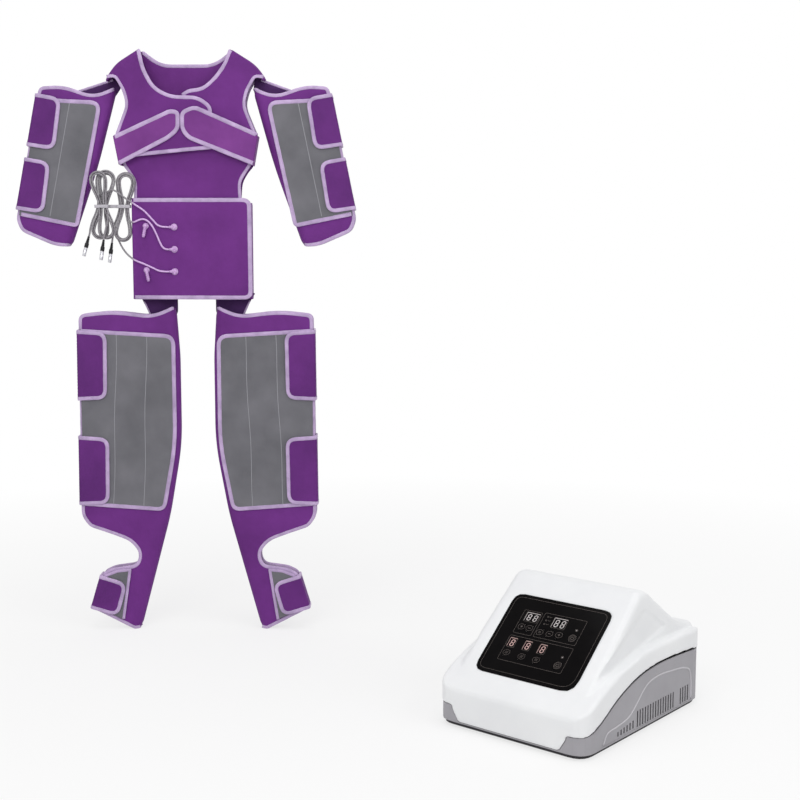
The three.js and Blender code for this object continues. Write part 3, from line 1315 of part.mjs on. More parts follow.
// Rear plate: mains inlet, three cable sockets, two air outlets and the opening of the rocker
function buildRear() {
  const face = halfDepth - CASE_INSET + GAP;
  const box = (w, d, h, x, y, z) => {
    const geometry = new THREE.BoxGeometry(w, d, h);
    geometry.translate(x, y, z);
    return solid(geometry);
  };
  let rear = box(REAR_PLATE_WIDTH, 2, REAR_PLATE_HEIGHT, 0, face + 1, REAR_PLATE_Z);
  const round = (radius, x, z, out) => {
    const ring = turned([
      [0, 0], [radius, 0], [radius, out], [radius - 2, out], [radius - 2, out - 2.5], [0, out - 2.5],
    ], 12);
    ring.rotateX(-Math.PI / 2);
    ring.translate(x, face + 1, z);
    return solid(ring);
  };
  for (let i = 0; i < 3; i += 1) {
    rear = rear.add(round(SOCKET_RADIUS, -78 + i * 30, REAR_PLATE_Z + 14, 6));
  }
  for (let i = 0; i < 2; i += 1) {
    rear = rear.add(round(SOCKET_RADIUS - 2, -66 + i * 36, REAR_PLATE_Z - 18, 12));
  }
  rear = rear.add(box(30, 5, 24, 66, face + 2.5, REAR_PLATE_Z - 16));
  rear = rear.subtract(box(22, 4, 15, 66, face + 5, REAR_PLATE_Z - 16));
  const rockerZ = REAR_PLATE_Z + 17;
  const opening = 1;
  rear = rear.subtract(box(ROCKER_WIDTH + 2 * opening, 20, ROCKER_HEIGHT + 2 * opening, 66, face, rockerZ));
  addPiece(consoleGroup, 'rear_plate', surface(rear), blackPlastic);
  const rocker = across(roundedOutline([
    [-6, 0, 4], [1.5, ROCKER_HEIGHT / 2 - 1, 1], [3.5, ROCKER_HEIGHT / 2 - 2, 1], [1.5, 0, 3],
    [3.5, -ROCKER_HEIGHT / 2 + 2, 1], [1.5, -ROCKER_HEIGHT / 2 + 1, 1],
  ]), ROCKER_WIDTH / 2, 0.5, 1);
  const rockerMesh = addPiece(consoleGroup, 'power_rocker', rocker, blackPlastic);
  rockerMesh.position.set(66, face, rockerZ);
  rockerMesh.rotation.x = THREE.MathUtils.degToRad(-ROCKER_TILT);
}

// Inside: the control board under the panel and the air pump with its valve head on the floor
function buildInside() {
  const boardDepth = -PANEL_THICKNESS - GAP - 16;
  const board = new THREE.BoxGeometry(BOARD_WIDTH, BOARD_LENGTH, 1.6);
  board.translate(0, 0, boardDepth);
  let boardSolid = solid(onSlope(board));
  for (const x of [-1, 1]) {
    for (const y of [-1, 1]) {
      const post = new THREE.CylinderGeometry(3, 3, 12, 10);
      post.rotateX(Math.PI / 2);
      post.translate(x * (BOARD_WIDTH / 2 - 8), y * (BOARD_LENGTH / 2 - 8), boardDepth + 6.5);
      boardSolid = boardSolid.add(solid(onSlope(post)));
    }
  }
  addPiece(consoleGroup, 'control_board', surface(boardSolid.subtract(coverWithClearance())), greenBoard);
  const floor = CASE_BOTTOM + SHELL_WALL + GAP;
  const body = new THREE.BoxGeometry(PUMP_WIDTH, PUMP_LENGTH, PUMP_HEIGHT - 12);
  body.translate(0, 90, floor + 12 + (PUMP_HEIGHT - 12) / 2);
  let pump = solid(body);
  for (const x of [-1, 1]) {
    for (const y of [-1, 1]) {
      const mount = turned([[0, 0], [9, 0], [9, 14], [0, 14]], 10);
      mount.translate(x * (PUMP_WIDTH / 2 - 14), 90 + y * (PUMP_LENGTH / 2 - 14), floor);
      pump = pump.add(solid(mount));
    }
  }
  const head = new THREE.CylinderGeometry(30, 30, 60, 16);
  head.rotateX(Math.PI / 2);
  head.translate(0, 90, floor + PUMP_HEIGHT + 10);
  const manifold = new THREE.BoxGeometry(100, 34, 30);
  manifold.translate(0, 90 - PUMP_LENGTH / 2 - 14, floor + 60);
  pump = pump.add(solid(head)).add(solid(manifold));
  addPiece(consoleGroup, 'air_pump', surface(pump), castMetal);
}

let coverCache = null;
function coverBody() {
  if (!coverCache) coverCache = upperCover();
  return coverCache;
}

function coverWithClearance() {
  return coverBody().add(coverBody().translate([0, GAP * Math.sin(slope), -GAP * Math.cos(slope)]));
}

function buildConsole() {
  addPiece(consoleGroup, 'upper_cover', surface(coverBody()), whitePlastic);
  addPiece(consoleGroup, 'lower_case', surface(lowerCase()), greyPlastic);
  buildBase();
  buildPanel();
  buildRear();
  buildInside();
  consoleGroup.rotation.z = THREE.MathUtils.degToRad(CONSOLE_TURN);
  consoleGroup.position.set(CONSOLE_X, CONSOLE_Y, 0);
}

buildVest();
buildWrap();
for (const [side, label] of [[-1, 'left'], [1, 'right']]) {
  buildSleeve(side, label);
  buildLeg(side, label);
}
for (let i = 0; i < 3; i += 1) buildGland(i);
for (let i = 0; i < 2; i += 1) buildNozzle(i);
buildCables();
buildTie();
buildConsole();

// The whole stands on the floor, its origin under the middle of the box round it
const whole = new THREE.Group();
whole.add(suit, consoleGroup);
whole.updateMatrixWorld(true);
const bounds = new THREE.Box3();
whole.traverse((node) => {
  if (node.isMesh && !node.name.startsWith('cable_')) bounds.expandByObject(node, true);
});
const centre = bounds.getCenter(new THREE.Vector3());
suit.position.sub(new THREE.Vector3(centre.x, centre.y, bounds.min.z));
consoleGroup.position.sub(new THREE.Vector3(centre.x, centre.y, bounds.min.z));
console.log('shift', centre.x.toFixed(3), centre.y.toFixed(3), bounds.min.z.toFixed(3));

export default whole;
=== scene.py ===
"""Looks of the air pressure suit and its control console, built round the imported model.

The suit stands upright in a plane along X with its front towards -Y. Lengths of the cloth pieces
are written in millimetres in the suit's own pattern plane: x across, z up, depth forward from
the back of the suit. The console has its own frame, turned on the floor.
"""
import math

import bpy
import bmesh
import numpy as np
from mathutils import Matrix, Vector, noise
from mathutils.bvhtree import BVHTree
from mathutils.geometry import delaunay_2d_cdt


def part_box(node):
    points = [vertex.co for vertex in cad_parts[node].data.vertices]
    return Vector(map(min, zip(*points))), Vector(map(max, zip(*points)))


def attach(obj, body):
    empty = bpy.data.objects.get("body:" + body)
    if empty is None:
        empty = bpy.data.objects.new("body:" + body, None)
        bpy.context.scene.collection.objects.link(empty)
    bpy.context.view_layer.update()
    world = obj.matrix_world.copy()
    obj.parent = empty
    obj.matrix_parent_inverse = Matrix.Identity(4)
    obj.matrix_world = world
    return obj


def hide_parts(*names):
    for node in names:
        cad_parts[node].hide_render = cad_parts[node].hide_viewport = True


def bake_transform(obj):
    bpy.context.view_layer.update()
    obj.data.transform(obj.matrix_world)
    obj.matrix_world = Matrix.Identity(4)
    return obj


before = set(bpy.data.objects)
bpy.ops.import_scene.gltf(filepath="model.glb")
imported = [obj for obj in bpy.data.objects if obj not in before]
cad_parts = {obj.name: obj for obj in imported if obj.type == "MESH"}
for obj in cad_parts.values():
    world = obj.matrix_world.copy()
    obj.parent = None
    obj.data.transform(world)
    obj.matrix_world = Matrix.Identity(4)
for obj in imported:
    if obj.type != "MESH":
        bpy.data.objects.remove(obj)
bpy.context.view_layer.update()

SUIT = "suit_and_console"
SIDES = ((-1, "left"), (1, "right"))

# Layers of the suit, as in the solids
GAP = 0.3
WALL = 9
LUMEN = 24
LIMB_DEPTH = 2 * WALL + LUMEN
LOOP_BACK = LIMB_DEPTH + GAP
LOOP_THICKNESS = 2.5
TAB_THICKNESS = 5
TAB_BACK = LOOP_BACK + LOOP_THICKNESS + GAP
ABDOMEN_BACK = WALL + LUMEN + GAP
ABDOMEN_THICKNESS = 8
WRAP_BACK = ABDOMEN_BACK + ABDOMEN_THICKNESS + GAP
WRAP_THICKNESS = 10
WRAP_FRONT = WRAP_BACK + WRAP_THICKNESS
FRONT_RIGHT_BACK = WRAP_BACK
FRONT_THICKNESS = 7
FRONT_LEFT_BACK = FRONT_RIGHT_BACK + FRONT_THICKNESS + GAP
STRAP_BACK = FRONT_LEFT_BACK + FRONT_THICKNESS + GAP
WRAP_LEFT = -155
WRAP_AXIS_DEPTH = WRAP_BACK + WRAP_THICKNESS / 2

# Where the suit's pattern plane and the console's frame lie in the scene
WRAP_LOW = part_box("waist_wrap")[0]
SUIT_X = WRAP_LOW[0] - WRAP_LEFT / 1000
SUIT_Y = WRAP_LOW[1] + WRAP_FRONT / 1000
BASE_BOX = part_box("console_base")
CONSOLE_ORIGIN = Vector((
    (BASE_BOX[0][0] + BASE_BOX[1][0]) / 2,
    (BASE_BOX[0][1] + BASE_BOX[1][1]) / 2,
    0,
))
CONSOLE_FRAME = Matrix.Translation(CONSOLE_ORIGIN) @ Matrix.Rotation(math.radians(-40), 4, "Z")


def suit_point(x, depth, z):
    """A point of the suit's pattern plane, in the scene."""
    return Vector((SUIT_X + x / 1000, SUIT_Y - depth / 1000, z / 1000))


# Materials
def linear(red, green, blue):
    """A colour as it is written on screen, 0 to 255, in the values that a shader takes."""
    def channel(value):
        share = value / 255
        return share / 12.92 if share <= 0.04045 else ((share + 0.055) / 1.055) ** 2.4
    return (channel(red), channel(green), channel(blue), 1.0)


class Nodes:
    """A node tree being filled: each call adds one node and returns one of its outputs."""

    def __init__(self, owner):
        owner.use_nodes = True
        self.nodes, self.links = owner.node_tree.nodes, owner.node_tree.links

    def join(self, value, socket):
        """Links an output to a socket, or sets the socket to a plain value."""
        if isinstance(value, bpy.types.NodeSocket):
            self.links.new(value, socket)
        else:
            socket.default_value = value

    def add(self, kind, output, *values, fields=(), **named):
        """Values go to the node's first inputs in turn, named ones to the inputs they name."""
        node = self.nodes.new("ShaderNode" + kind)
        for field, value in dict(fields).items():
            setattr(node, field, value)
        for socket, value in zip(node.inputs, values):
            self.join(value, socket)
        for name, value in named.items():
            self.join(value, node.inputs[name.replace("_", " ")])
        return node.outputs[output]

    def calculate(self, operation, first, second, clamp=False):
        fields = {"operation": operation, "use_clamp": clamp}
        return self.add("Math", "Value", first, second, fields=fields)

    def white_share(self):
        """One for what the camera sees and for gloss and glass, where the background is white."""
        seen = self.add("LightPath", "Is Camera Ray")
        path = seen.node.outputs
        gloss = self.calculate("MAXIMUM", path["Is Glossy Ray"], path["Is Transmission Ray"])
        return self.calculate("MAXIMUM", seen, gloss)


class Finish(Nodes):
    """A material under the plain shader, its patterns in the object's own metres."""

    def __init__(self, name, roughness=0.5, **sockets):
        self.material = bpy.data.materials.new(name)
        super().__init__(self.material)
        self.inputs = self.nodes["Principled BSDF"].inputs
        for socket, value in {"Roughness": roughness, **sockets}.items():
            self.inputs[socket.replace("_", " ")].default_value = value
        self.place = self.add("TexCoord", "Object")

    def noise(self, scale, detail=3.0, roughness=0.5):
        return self.add("TexNoise", "Fac", Vector=self.place, Scale=scale, Detail=detail,
                        Roughness=roughness)

    def ramp(self, pattern, dark, light, low=0.3, high=0.7):
        """From one colour to another as a pattern rises from low to high."""
        colour = self.add("ValToRGB", "Color", pattern)
        for stop, place, shade in zip(colour.node.color_ramp.elements, (low, high), (dark, light)):
            stop.position, stop.color = place, linear(*shade)
        return colour

    def paint(self, *ramp):
        self.links.new(self.ramp(*ramp), self.inputs["Base Color"])

    def dull(self, pattern, spread, least):
        """Roughness that follows a pattern."""
        spread = self.calculate("MULTIPLY", pattern, spread)
        self.links.new(self.calculate("ADD", spread, least), self.inputs["Roughness"])

    def bump(self, height, distance, strength=1.0, **below):
        """Bump from a height pattern, laid over another normal if one is given."""
        normal = self.add(
            "Bump", "Normal", Height=height, Distance=distance, Strength=strength, **below)
        self.links.new(normal, self.inputs["Normal"])
        return normal


def woven_cloth(name, dark, light, weave=0.0011, roughness=0.62, sheen=0.06):
    """Plain woven coated cloth: crossing threads, slow colour changes, faint sheen."""
    cloth = Finish(name, roughness, Specular_IOR_Level=0.22, Sheen_Weight=sheen,
                   Sheen_Roughness=0.4, Sheen_Tint=linear(*light))
    cloth.paint(cloth.noise(7, 4, 0.6), dark, light)
    threads = [
        cloth.add("TexWave", "Fac", fields={"wave_type": "BANDS", "bands_direction": axis},
                  Scale=0.314 / weave, Distortion=0.4, Vector=cloth.place) for axis in "XZ"]
    creases = cloth.bump(cloth.noise(42, 5, 0.62), 0.004, 0.35)
    cloth.bump(cloth.calculate("ADD", *threads), 0.0002, 0.5, Normal=creases)
    return cloth.material


def loop_cloth_material():
    """Brushed loop cloth: a dense, dull nap."""
    cloth = Finish("loop_cloth", 0.92, Specular_IOR_Level=0.15, Sheen_Weight=0.12,
                   Sheen_Roughness=0.6)
    nap = cloth.noise(900, 4, 0.7)
    drift = cloth.calculate("MULTIPLY", cloth.calculate("ADD", nap, cloth.noise(12)), 0.5)
    cloth.paint(drift, (98, 98, 103), (121, 120, 126), 0.35, 0.65)
    cloth.bump(nap, 0.0006, 0.7)
    return cloth.material


def binding_tape():
    """Lilac woven binding, greyer where it has been handled."""
    tape = Finish("binding_tape", 0.6, Sheen_Weight=0.3)
    tape.paint(tape.noise(30, 4, 0.6), (164, 142, 180), (196, 170, 211), 0.3, 0.65)
    tape.bump(tape.add("TexVoronoi", "Distance", Vector=tape.place, Scale=800), 0.0003, 0.6)
    return tape.material


def sewing_thread(name="sewing_thread", dark=(150, 130, 165), light=(190, 172, 204)):
    thread = Finish(name)
    thread.paint(thread.noise(1200, 2), dark, light)
    return thread.material


def cable_jacket():
    """Clear grey jacket, painted lilac along the stretch that lies on the purple wrap: painted
    show-through of the purple cloth behind the clear jacket.
    """
    jacket = Finish("cable_jacket", 0.32)
    marks = jacket.noise(220)
    grey = jacket.ramp(marks, (112, 108, 114), (156, 152, 158))
    # Painted show-through of the purple wrap: lilac where the cable lies over it
    lilac = jacket.ramp(marks, (194, 154, 210), (222, 186, 234))
    wrap_show_through_share = jacket.add("Attribute", "Fac", fields={"attribute_name": "wrap_show_through_share"})
    mix = jacket.add("Mix", "Result", fields={"data_type": "RGBA"}, Factor=wrap_show_through_share, A=grey, B=lilac)
    jacket.links.new(mix, jacket.inputs["Base Color"])
    jacket.bump(jacket.noise(1500), 0.0002, 0.3)
    return jacket.material


def moulded_plastic(name, dark, light, roughness, grain, edge=0.0, level=0.45):
    """Moulded plastic: a slow drift of colour, a fine spark grain, duller where hands touch it."""
    plastic = Finish(name, roughness, Specular_IOR_Level=level)
    plastic.paint(plastic.noise(5, 4, 0.55), dark, light)
    plastic.dull(plastic.noise(18, 4, 0.6), 0.2, roughness - 0.1)
    eased = {}
    if edge:
        eased["Normal"] = plastic.add("Bevel", "Normal", edge, fields={"samples": 6})
    plastic.bump(plastic.noise(grain, 2), 0.00012, 0.35, **eased)
    return plastic.material


def panel_glass_material():
    """Black glass, clean and glossy, with faint finger smears."""
    glass = Finish("panel_glass", 0.1, Specular_IOR_Level=0.04)
    smear = glass.noise(26, 5, 0.65)
    glass.paint(smear, (5, 4, 5), (11, 9, 10), 0.3, 0.75)
    glass.dull(smear, 0.16, 0.03)
    return glass.material


def ink(name, dark, light):
    """Screen print: slightly uneven, matt."""
    print_ink = Finish(name, 0.6, Specular_IOR_Level=0.2)
    print_ink.paint(print_ink.noise(320, 3, 0.6), dark, light)
    return print_ink.material


def circuit_board():
    """Green board with lighter tracks."""
    board = Finish("circuit_board", 0.4)
    turned_place = board.add(
        "Mapping", "Vector", Vector=board.place, Rotation=(0, 0, math.radians(40)))
    tracks = board.add(
        "TexBrick", "Color", Vector=turned_place, Scale=60, Mortar_Size=0.03,
        Color1=linear(22, 84, 48), Color2=linear(28, 96, 56), Mortar=linear(92, 140, 84))
    board.links.new(tracks, board.inputs["Base Color"])
    return board.material


def metal(name, roughness, metallic, skin, dark, light, depth, strength):
    """Metal whose skin, a noise of a scale, detail and roughness, colours and bumps it."""
    surface = Finish(name, roughness, Metallic=metallic)
    pattern = surface.noise(*skin)
    surface.paint(pattern, dark, light)
    surface.bump(pattern, depth, strength)
    return surface.material


def lilac_rubber():
    """Clear soft plastic that takes the colour of the cloth behind it."""
    rubber = Finish("lilac_rubber", 0.28, Transmission_Weight=0.15, IOR=1.45)
    cloud = rubber.noise(130, 4, 0.6)
    rubber.paint(cloud, (196, 150, 212), (228, 190, 240))
    rubber.bump(cloud, 0.0008, 0.25)
    return rubber.material


def floor_material():
    """Floor: nearly white to the camera and in gloss, plain white far out, shadows kept."""
    floor = Finish("studio_floor", 0.9, Specular_IOR_Level=0.1, Base_Color=linear(240, 240, 240))
    away = floor.add("VectorMath", "Value", floor.place, fields={"operation": "LENGTH"})
    share = floor.calculate("ADD", floor.calculate("MULTIPLY", away, 0.12), 0.64, clamp=True)
    white = floor.add("Emission", "Emission")
    mix = floor.add(
        "MixShader", "Shader", floor.calculate("MULTIPLY", floor.white_share(), share),
        floor.nodes["Principled BSDF"].outputs["BSDF"], white)
    floor.links.new(mix, floor.nodes["Material Output"].inputs["Surface"])
    return floor.material


# Meshes
def linked(name, data):
    """A new object of the scene."""
    thing = bpy.data.objects.new(name, data)
    bpy.context.scene.collection.objects.link(thing)
    return thing


def mesh_piece(name, verts, faces, *materials, picks=None, smooth=True):
    """A mesh object at the origin, from places in metres; picks say which material a face has."""
    mesh = bpy.data.meshes.new(name)
    mesh.from_pydata([tuple(v) for v in verts], [], faces)
    for material in materials:
        mesh.materials.append(material)
    if picks is not None:
        mesh.polygons.foreach_set("material_index", picks)
    if smooth:
        mesh.shade_smooth()
    return linked(name, mesh)


def cleaned(mesh, merge=0.0, outward=True):
    """Merges a mesh's doubled vertices and turns its faces outwards."""
    work = bmesh.new()
    work.from_mesh(mesh)
    if merge:
        bmesh.ops.remove_doubles(work, verts=work.verts, dist=merge)
    if outward:
        bmesh.ops.recalc_face_normals(work, faces=work.faces)
    work.to_mesh(mesh)
    work.free()


def closed_piece(name, verts, faces, *materials, picks=None):
    """A closed cloth mesh with merged doubles and outward faces."""
    piece = mesh_piece(name, verts, faces, *materials, picks=picks)
    cleaned(piece.data, 2e-5)
    piece.data.shade_smooth()
    return piece


def settle(piece, body, slot, *nodes, fill=None):
    """Puts a piece on its body and hides the solids it stands for; its slot and filling are not
    used.
    """
    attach(piece, body)
    if nodes:
        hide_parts(*nodes)
    return piece


def angles(sides):
    """Cosine and sine of each corner of a ring."""
    for j in range(sides):
        angle = 2 * math.pi * j / sides
        yield math.cos(angle), math.sin(angle)


def tube_faces(base, rings, sides, closed=False):
    """Faces of a tube whose rings of vertices follow each other from a first index."""
    faces = []
    for i in range(rings if closed else rings - 1):
        low, high = base + i * sides, base + (i + 1) % rings * sides
        for j in range(sides):
            k = (j + 1) % sides
            faces.append((low + j, low + k, high + k, high + j))
    if not closed:
        last = base + (rings - 1) * sides
        faces.append(tuple(range(base + sides - 1, base - 1, -1)))
        faces.append(tuple(range(last, last + sides)))
    return faces


def sweep(points, radius, sides=12):
    """Places and faces of a round tube through points, square to them at both ends."""
    verts, count = [], len(points)
    normal = Vector((0, 1, 0))
    for i, point in enumerate(points):
        along = (points[min(i + 1, count - 1)] - points[max(i - 1, 0)]).normalized()
        normal = (normal - along * normal.dot(along)).normalized()
        across = along.cross(normal)
        verts += [point + (normal * c + across * s) * radius for c, s in angles(sides)]
    return verts, tube_faces(0, count, sides)


def smooth_path(points, step):
    """Points a step apart along a centripetal curve through the given points."""
    padded = [points[0] * 2 - points[1], *points, points[-1] * 2 - points[-2]]
    fine = []
    for i in range(1, len(padded) - 2):
        a, b, c, d = padded[i - 1:i + 3]
        knots = [0.0]
        for one, other in ((a, b), (b, c), (c, d)):
            knots.append(knots[-1] + max((other - one).length, 1e-9) ** 0.5)
        k0, k1, k2, k3 = knots
        for n in range(16):
            t = k1 + (k2 - k1) * n / 16
            ab = a * ((k1 - t) / (k1 - k0)) + b * ((t - k0) / (k1 - k0))
            bc = b * ((k2 - t) / (k2 - k1)) + c * ((t - k1) / (k2 - k1))
            cd = c * ((k3 - t) / (k3 - k2)) + d * ((t - k2) / (k3 - k2))
            abc = ab * ((k2 - t) / (k2 - k0)) + bc * ((t - k0) / (k2 - k0))
            bcd = bc * ((k3 - t) / (k3 - k1)) + cd * ((t - k1) / (k3 - k1))
            fine.append(abc * ((k2 - t) / (k2 - k1)) + bcd * ((t - k1) / (k2 - k1)))
    fine.append(points[-1].copy())
    return spaced(fine, step)


def spaced(points, step):
    """The same line with points about a step apart, its ends kept."""
    lengths = [0.0]
    for one, other in zip(points, points[1:]):
        lengths.append(lengths[-1] + (other - one).length)
    count = max(int(round(lengths[-1] / step)), 2)
    result, j = [], 0
    for i in range(count + 1):
        target = lengths[-1] * i / count
        while j < len(points) - 2 and lengths[j + 1] < target:
            j += 1
        span = max(lengths[j + 1] - lengths[j], 1e-12)
        share = min(max((target - lengths[j]) / span, 0.0), 1.0)
        result.append(points[j].lerp(points[j + 1], share))
    return result


def path_length(points):
    return sum((other - one).length for one, other in zip(points, points[1:]))


# Cables: the routes of the solids, in millimetres
CABLE = 5
CABLE_PITCH = 5.7
HANK_RADIUS = 23
HANK_LOBE = 68
HANK_WAIST = 10.5
STEPS_PER_LOOP = 24
LOOPS = 3
GLAND_X = -41
GLAND_TOP_Z = 1111
GLAND_PITCH = 59.5
GLAND_RADIUS = 9
HANKS = [
    dict(x=-231, z=1169, lean=-8, up=-1, depth=56, layer_step=CABLE_PITCH, last_step=72, tail=[
        (11.8, -10, 62.6), (14, -20, 65.4), (12.5, -32, 68.2), (8, -48, 68.6), (1, -64, 68.6),
        (-5, -80, 70), (-8.5, -92, 71)]),
    dict(x=-231, z=1169, lean=8, up=1, depth=44.6, layer_step=CABLE_PITCH, last_step=87, tail=[
        (-26.6, -78, 50.3), (-28, -88, 50.3)]),
    dict(x=-174.5, z=1163, lean=5, up=1, depth=50, layer_step=-CABLE_PITCH, last_step=87, tail=[
        (-26.4, -78, 44.3), (-27, -88, 44.3), (-27.5, -96, 44.3)]),
]
LEADS = [
    [(-82, 1115, 55.2), (-100, 1133, 54.8), (-120, 1154, 54.8), (-140, 1168, 55.4),
     (-157, 1179, 56.2), (-174, 1191, 56.4), (-187, 1201, 56.4), (-197, 1207.5, 56.4),
     (-206.5, 1209.3, 56.3), (-214.5, 1205.6, 56.2)],
    [(-67.3, 1053.6, 56), (-73.6, 1059.6, 55.4), (-79.5, 1071, 54.9), (-87, 1089, 54.8),
     (-97, 1110, 54.8), (-109, 1125.5, 54.8), (-121.5, 1131.8, 54.8), (-133.5, 1130.5, 54.8),
     (-143.5, 1126, 54.8), (-151.5, 1124.1, 54.4), (-158.2, 1126.6, 53)],
    [(-82, 994, 55.2), (-102, 1003, 54.8), (-124, 1013, 54.8), (-148, 1023, 54.6),
     (-166, 1036, 50), (-182, 1054, 41.5), (-194, 1076, 36.6), (-204, 1098, 36.2),
     (-212, 1121, 39)],
]
LEAD_OF_HANK = [0, 2, 1]


def loop_point(step):
    """Place and outward direction on the outermost loop of a hank, in steps of a turn."""
    k = step % STEPS_PER_LOOP

    def edge(height, sideways):
        t = math.pi * height / HANK_LOBE
        width = HANK_WAIST + (HANK_RADIUS - HANK_WAIST) * (1 - math.cos(t)) / 2
        lean = (HANK_RADIUS - HANK_WAIST) * math.pi / HANK_LOBE * math.sin(t) / 2
        normal = Vector((1, -lean)).normalized()
        return sideways * width, height, sideways * normal.x, normal.y

    def bow(angle, centre):
        return (HANK_RADIUS * math.cos(angle), centre + HANK_RADIUS * math.sin(angle),
                math.cos(angle), math.sin(angle))

    if k < 3:
        return edge(HANK_LOBE * k / 3, 1)
    if k < 9:
        return bow((k - 3) * math.pi / 6, HANK_LOBE)
    if k < 15:
        return edge(HANK_LOBE * (12 - k) / 3, -1)
    if k < 21:
        return bow((k - 9) * math.pi / 6, -HANK_LOBE)
    return edge(HANK_LOBE * (k - 24) / 3, 1)


def hank_route(hank):
    """The points of a hank's route, in the scene."""
    lean = math.radians(hank["lean"])

    def place(x, up, depth):
        return suit_point(
            hank["x"] + x * math.cos(lean) + up * math.sin(lean), depth,
            hank["z"] + up * math.cos(lean) - x * math.sin(lean))

    middle = LOOPS / 2
    points = []
    for step in range(-1, hank["last_step"] + 1):
        turn = step / STEPS_PER_LOOP
        inset = CABLE_PITCH * (middle - abs(turn - middle))
        climb = eased_in((turn - middle + 0.25) / 0.5)
        x, up, nx, nup = loop_point(step)
        depth = hank["depth"] + climb * hank["layer_step"]
        points.append(place(x - nx * inset, hank["up"] * (up - nup * inset), depth))
    points += [place(x, up, depth) for x, up, depth in hank["tail"]]
    return points


def cable_routes():
    """Each cable from its gland to its plug, as points in the scene, in the hanks' order."""
    routes = []
    for i, hank in enumerate(HANKS):
        lead = LEAD_OF_HANK[i]
        coil = hank_route(hank)
        along = (coil[1] - coil[0]).normalized()
        meet = coil[0] - along * GAP / 1000
        before = meet - along * CABLE / 1000
        z = GLAND_TOP_Z - lead * GLAND_PITCH
        depth = WRAP_FRONT + GAP + 4.6
        gland = GLAND_X - GLAND_RADIUS - 4 - GAP
        start = suit_point(gland, depth, z)
        straight = suit_point(gland - CABLE, depth, z)
        middle = [suit_point(x, d, up) for x, up, d in LEADS[lead]]
        routes.append([start, straight, *middle, before, meet, *coil])
    return routes


def build_cables(jacket, rubber, bright):
    """The three cables, each one unbroken tube from gland to plug."""
    for i, route in enumerate(cable_routes()):
        lead = LEAD_OF_HANK[i] + 1
        number = i + 1
        points = smooth_path(route, 0.0035)
        verts, faces = sweep(points, CABLE / 2000, 14)
        cable = mesh_piece(f"cable_{number}", verts, faces, jacket)
        x, _, z = np.array(verts).T
        # Share of the painted show-through of the purple wrap: full where the cable lies over the
        # wrap
        past, below = x - suit_point(WRAP_LEFT, 0, 0).x, WRAP_TOP / 1000 - z
        wrap_show_through_share = cable.data.attributes.new("wrap_show_through_share", "FLOAT", "POINT")
        wrap_show_through_share.data.foreach_set("value", np.clip(90 * np.minimum(past, below), 0, 1))
        plug = build_plug(number, route, rubber, bright)
        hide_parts(f"cable_lead_{lead}", f"cable_hank_{number}")
        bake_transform(cable)
        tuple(points[0])
        path_length(points)


# Outlines of the cloth pieces: corners are (outward, up, radius) from the middle line of the piece
VEST_X, SLEEVES_X, LEGS_X = -5, -10, 11
LEG_INNER, LEG_OUTER, LEG_TOP, SHIN_TOP = 46, 322, 882, 500
CALF_BOTTOM, CALF_INNER, HEEL_IN, HEEL_UPPER, HEEL_LOWER = 322, 81, 170, 248, 180
FOOT_OUTER, FOOT_INNER, FOOT_HEM, FOOT_RISE = 301, 168, 18, 59
LEG_RISE_WIDTH, LEG_LOOP_TOP, LEG_LOOP_DROP, LEG_LOOP_MARGIN = 92, 836, 15, 11
LEG_TAB_REACH, LEG_TABS = 80, {"upper": (640, 836), "lower": (350, 546)}
FOOT_LOOP_REACH, FOOT_LOOP_TIP, FOOT_TAB_REACH, TAB_CORNER = 190, 26, 202, 28
SLEEVE_TOP, SLEEVE_TOP_OUTER, SLEEVE_TOP_INNER = 1466, 389, 184
SLEEVE_CUFF_OUTER, SLEEVE_CUFF_INNER = 457, 314
SLEEVE_CUFF_OUTER_Z, SLEEVE_CUFF_INNER_Z = 1132, 1058
SLEEVE_LOOP_MARGIN, SLEEVE_TAB_REACH, SLEEVE_TAB_LENGTH, SLEEVE_TAB_SPACE = 24, 64, 142, 26
NECK_HALF, NECK_TOP, NECK_DIP, SHOULDER_OUT, SHOULDER_LOW = 118, 1580, 44, 208, 1503
ARMHOLE_IN, CHEST_HALF, CHEST_TOP, CHEST_LOW_HALF, CHEST_LOW = 160, 188, 1354, 174, 1274
WAIST_IN, ABDOMEN_TOP, FRONT_BOTTOM, STRAP_END, STRAP_SPLIT = 138, 1336, 1312, 15, 3
WRAP_RIGHT, WRAP_TOP, WRAP_BOTTOM, WRAP_CORNER = 166, 1188, 917, 16


def rounded_outline(corners, step):
    """Points of a closed outline about a step apart, anticlockwise, from (x, y, radius) corners."""
    points = []
    count = len(corners)
    for i, corner in enumerate(corners):
        here = np.array(corner[:2], float)
        radius = corner[2] if len(corner) > 2 else 0
        before = np.array(corners[i - 1][:2], float) - here
        after = np.array(corners[(i + 1) % count][:2], float) - here
        reach = min(radius, 0.48 * np.hypot(*before), 0.48 * np.hypot(*after))
        start = here + before / np.hypot(*before) * reach
        end = here + after / np.hypot(*after) * reach
        if radius > 0:
            for k in range(9):
                t = k / 8
                points.append(start * (1 - t) ** 2 + here * 2 * t * (1 - t) + end * t * t)
        else:
            points.append(here)
    points = np.array(points)
    x, y = points.T
    if np.sum(x * np.roll(y, -1) - np.roll(x, -1) * y) < 0:
        points = points[::-1]
    ring = np.vstack([points, points[:1]])
    lengths = np.concatenate([[0], np.cumsum(np.hypot(*np.diff(ring, axis=0).T))])
    places = np.linspace(0, lengths[-1], int(round(lengths[-1] / step)), endpoint=False)
    return np.column_stack([np.interp(places, lengths, ring[:, k]) for k in (0, 1)])


def mirrored(side, centre, corners):
    return [(centre + side * corner[0], *corner[1:]) for corner in corners]


def unit(ways):
    """Directions in rows, each brought to length one."""
    return ways / np.hypot.reduce(ways, axis=1)[:, None]


def ways_along(line, closed=False):
    """The unit direction of a line at each of its points."""
    ahead = np.roll(line, -1, axis=0) - np.roll(line, 1, axis=0)
    if not closed:
        ahead[0], ahead[-1] = line[1] - line[0], line[-1] - line[-2]
    return unit(ahead)


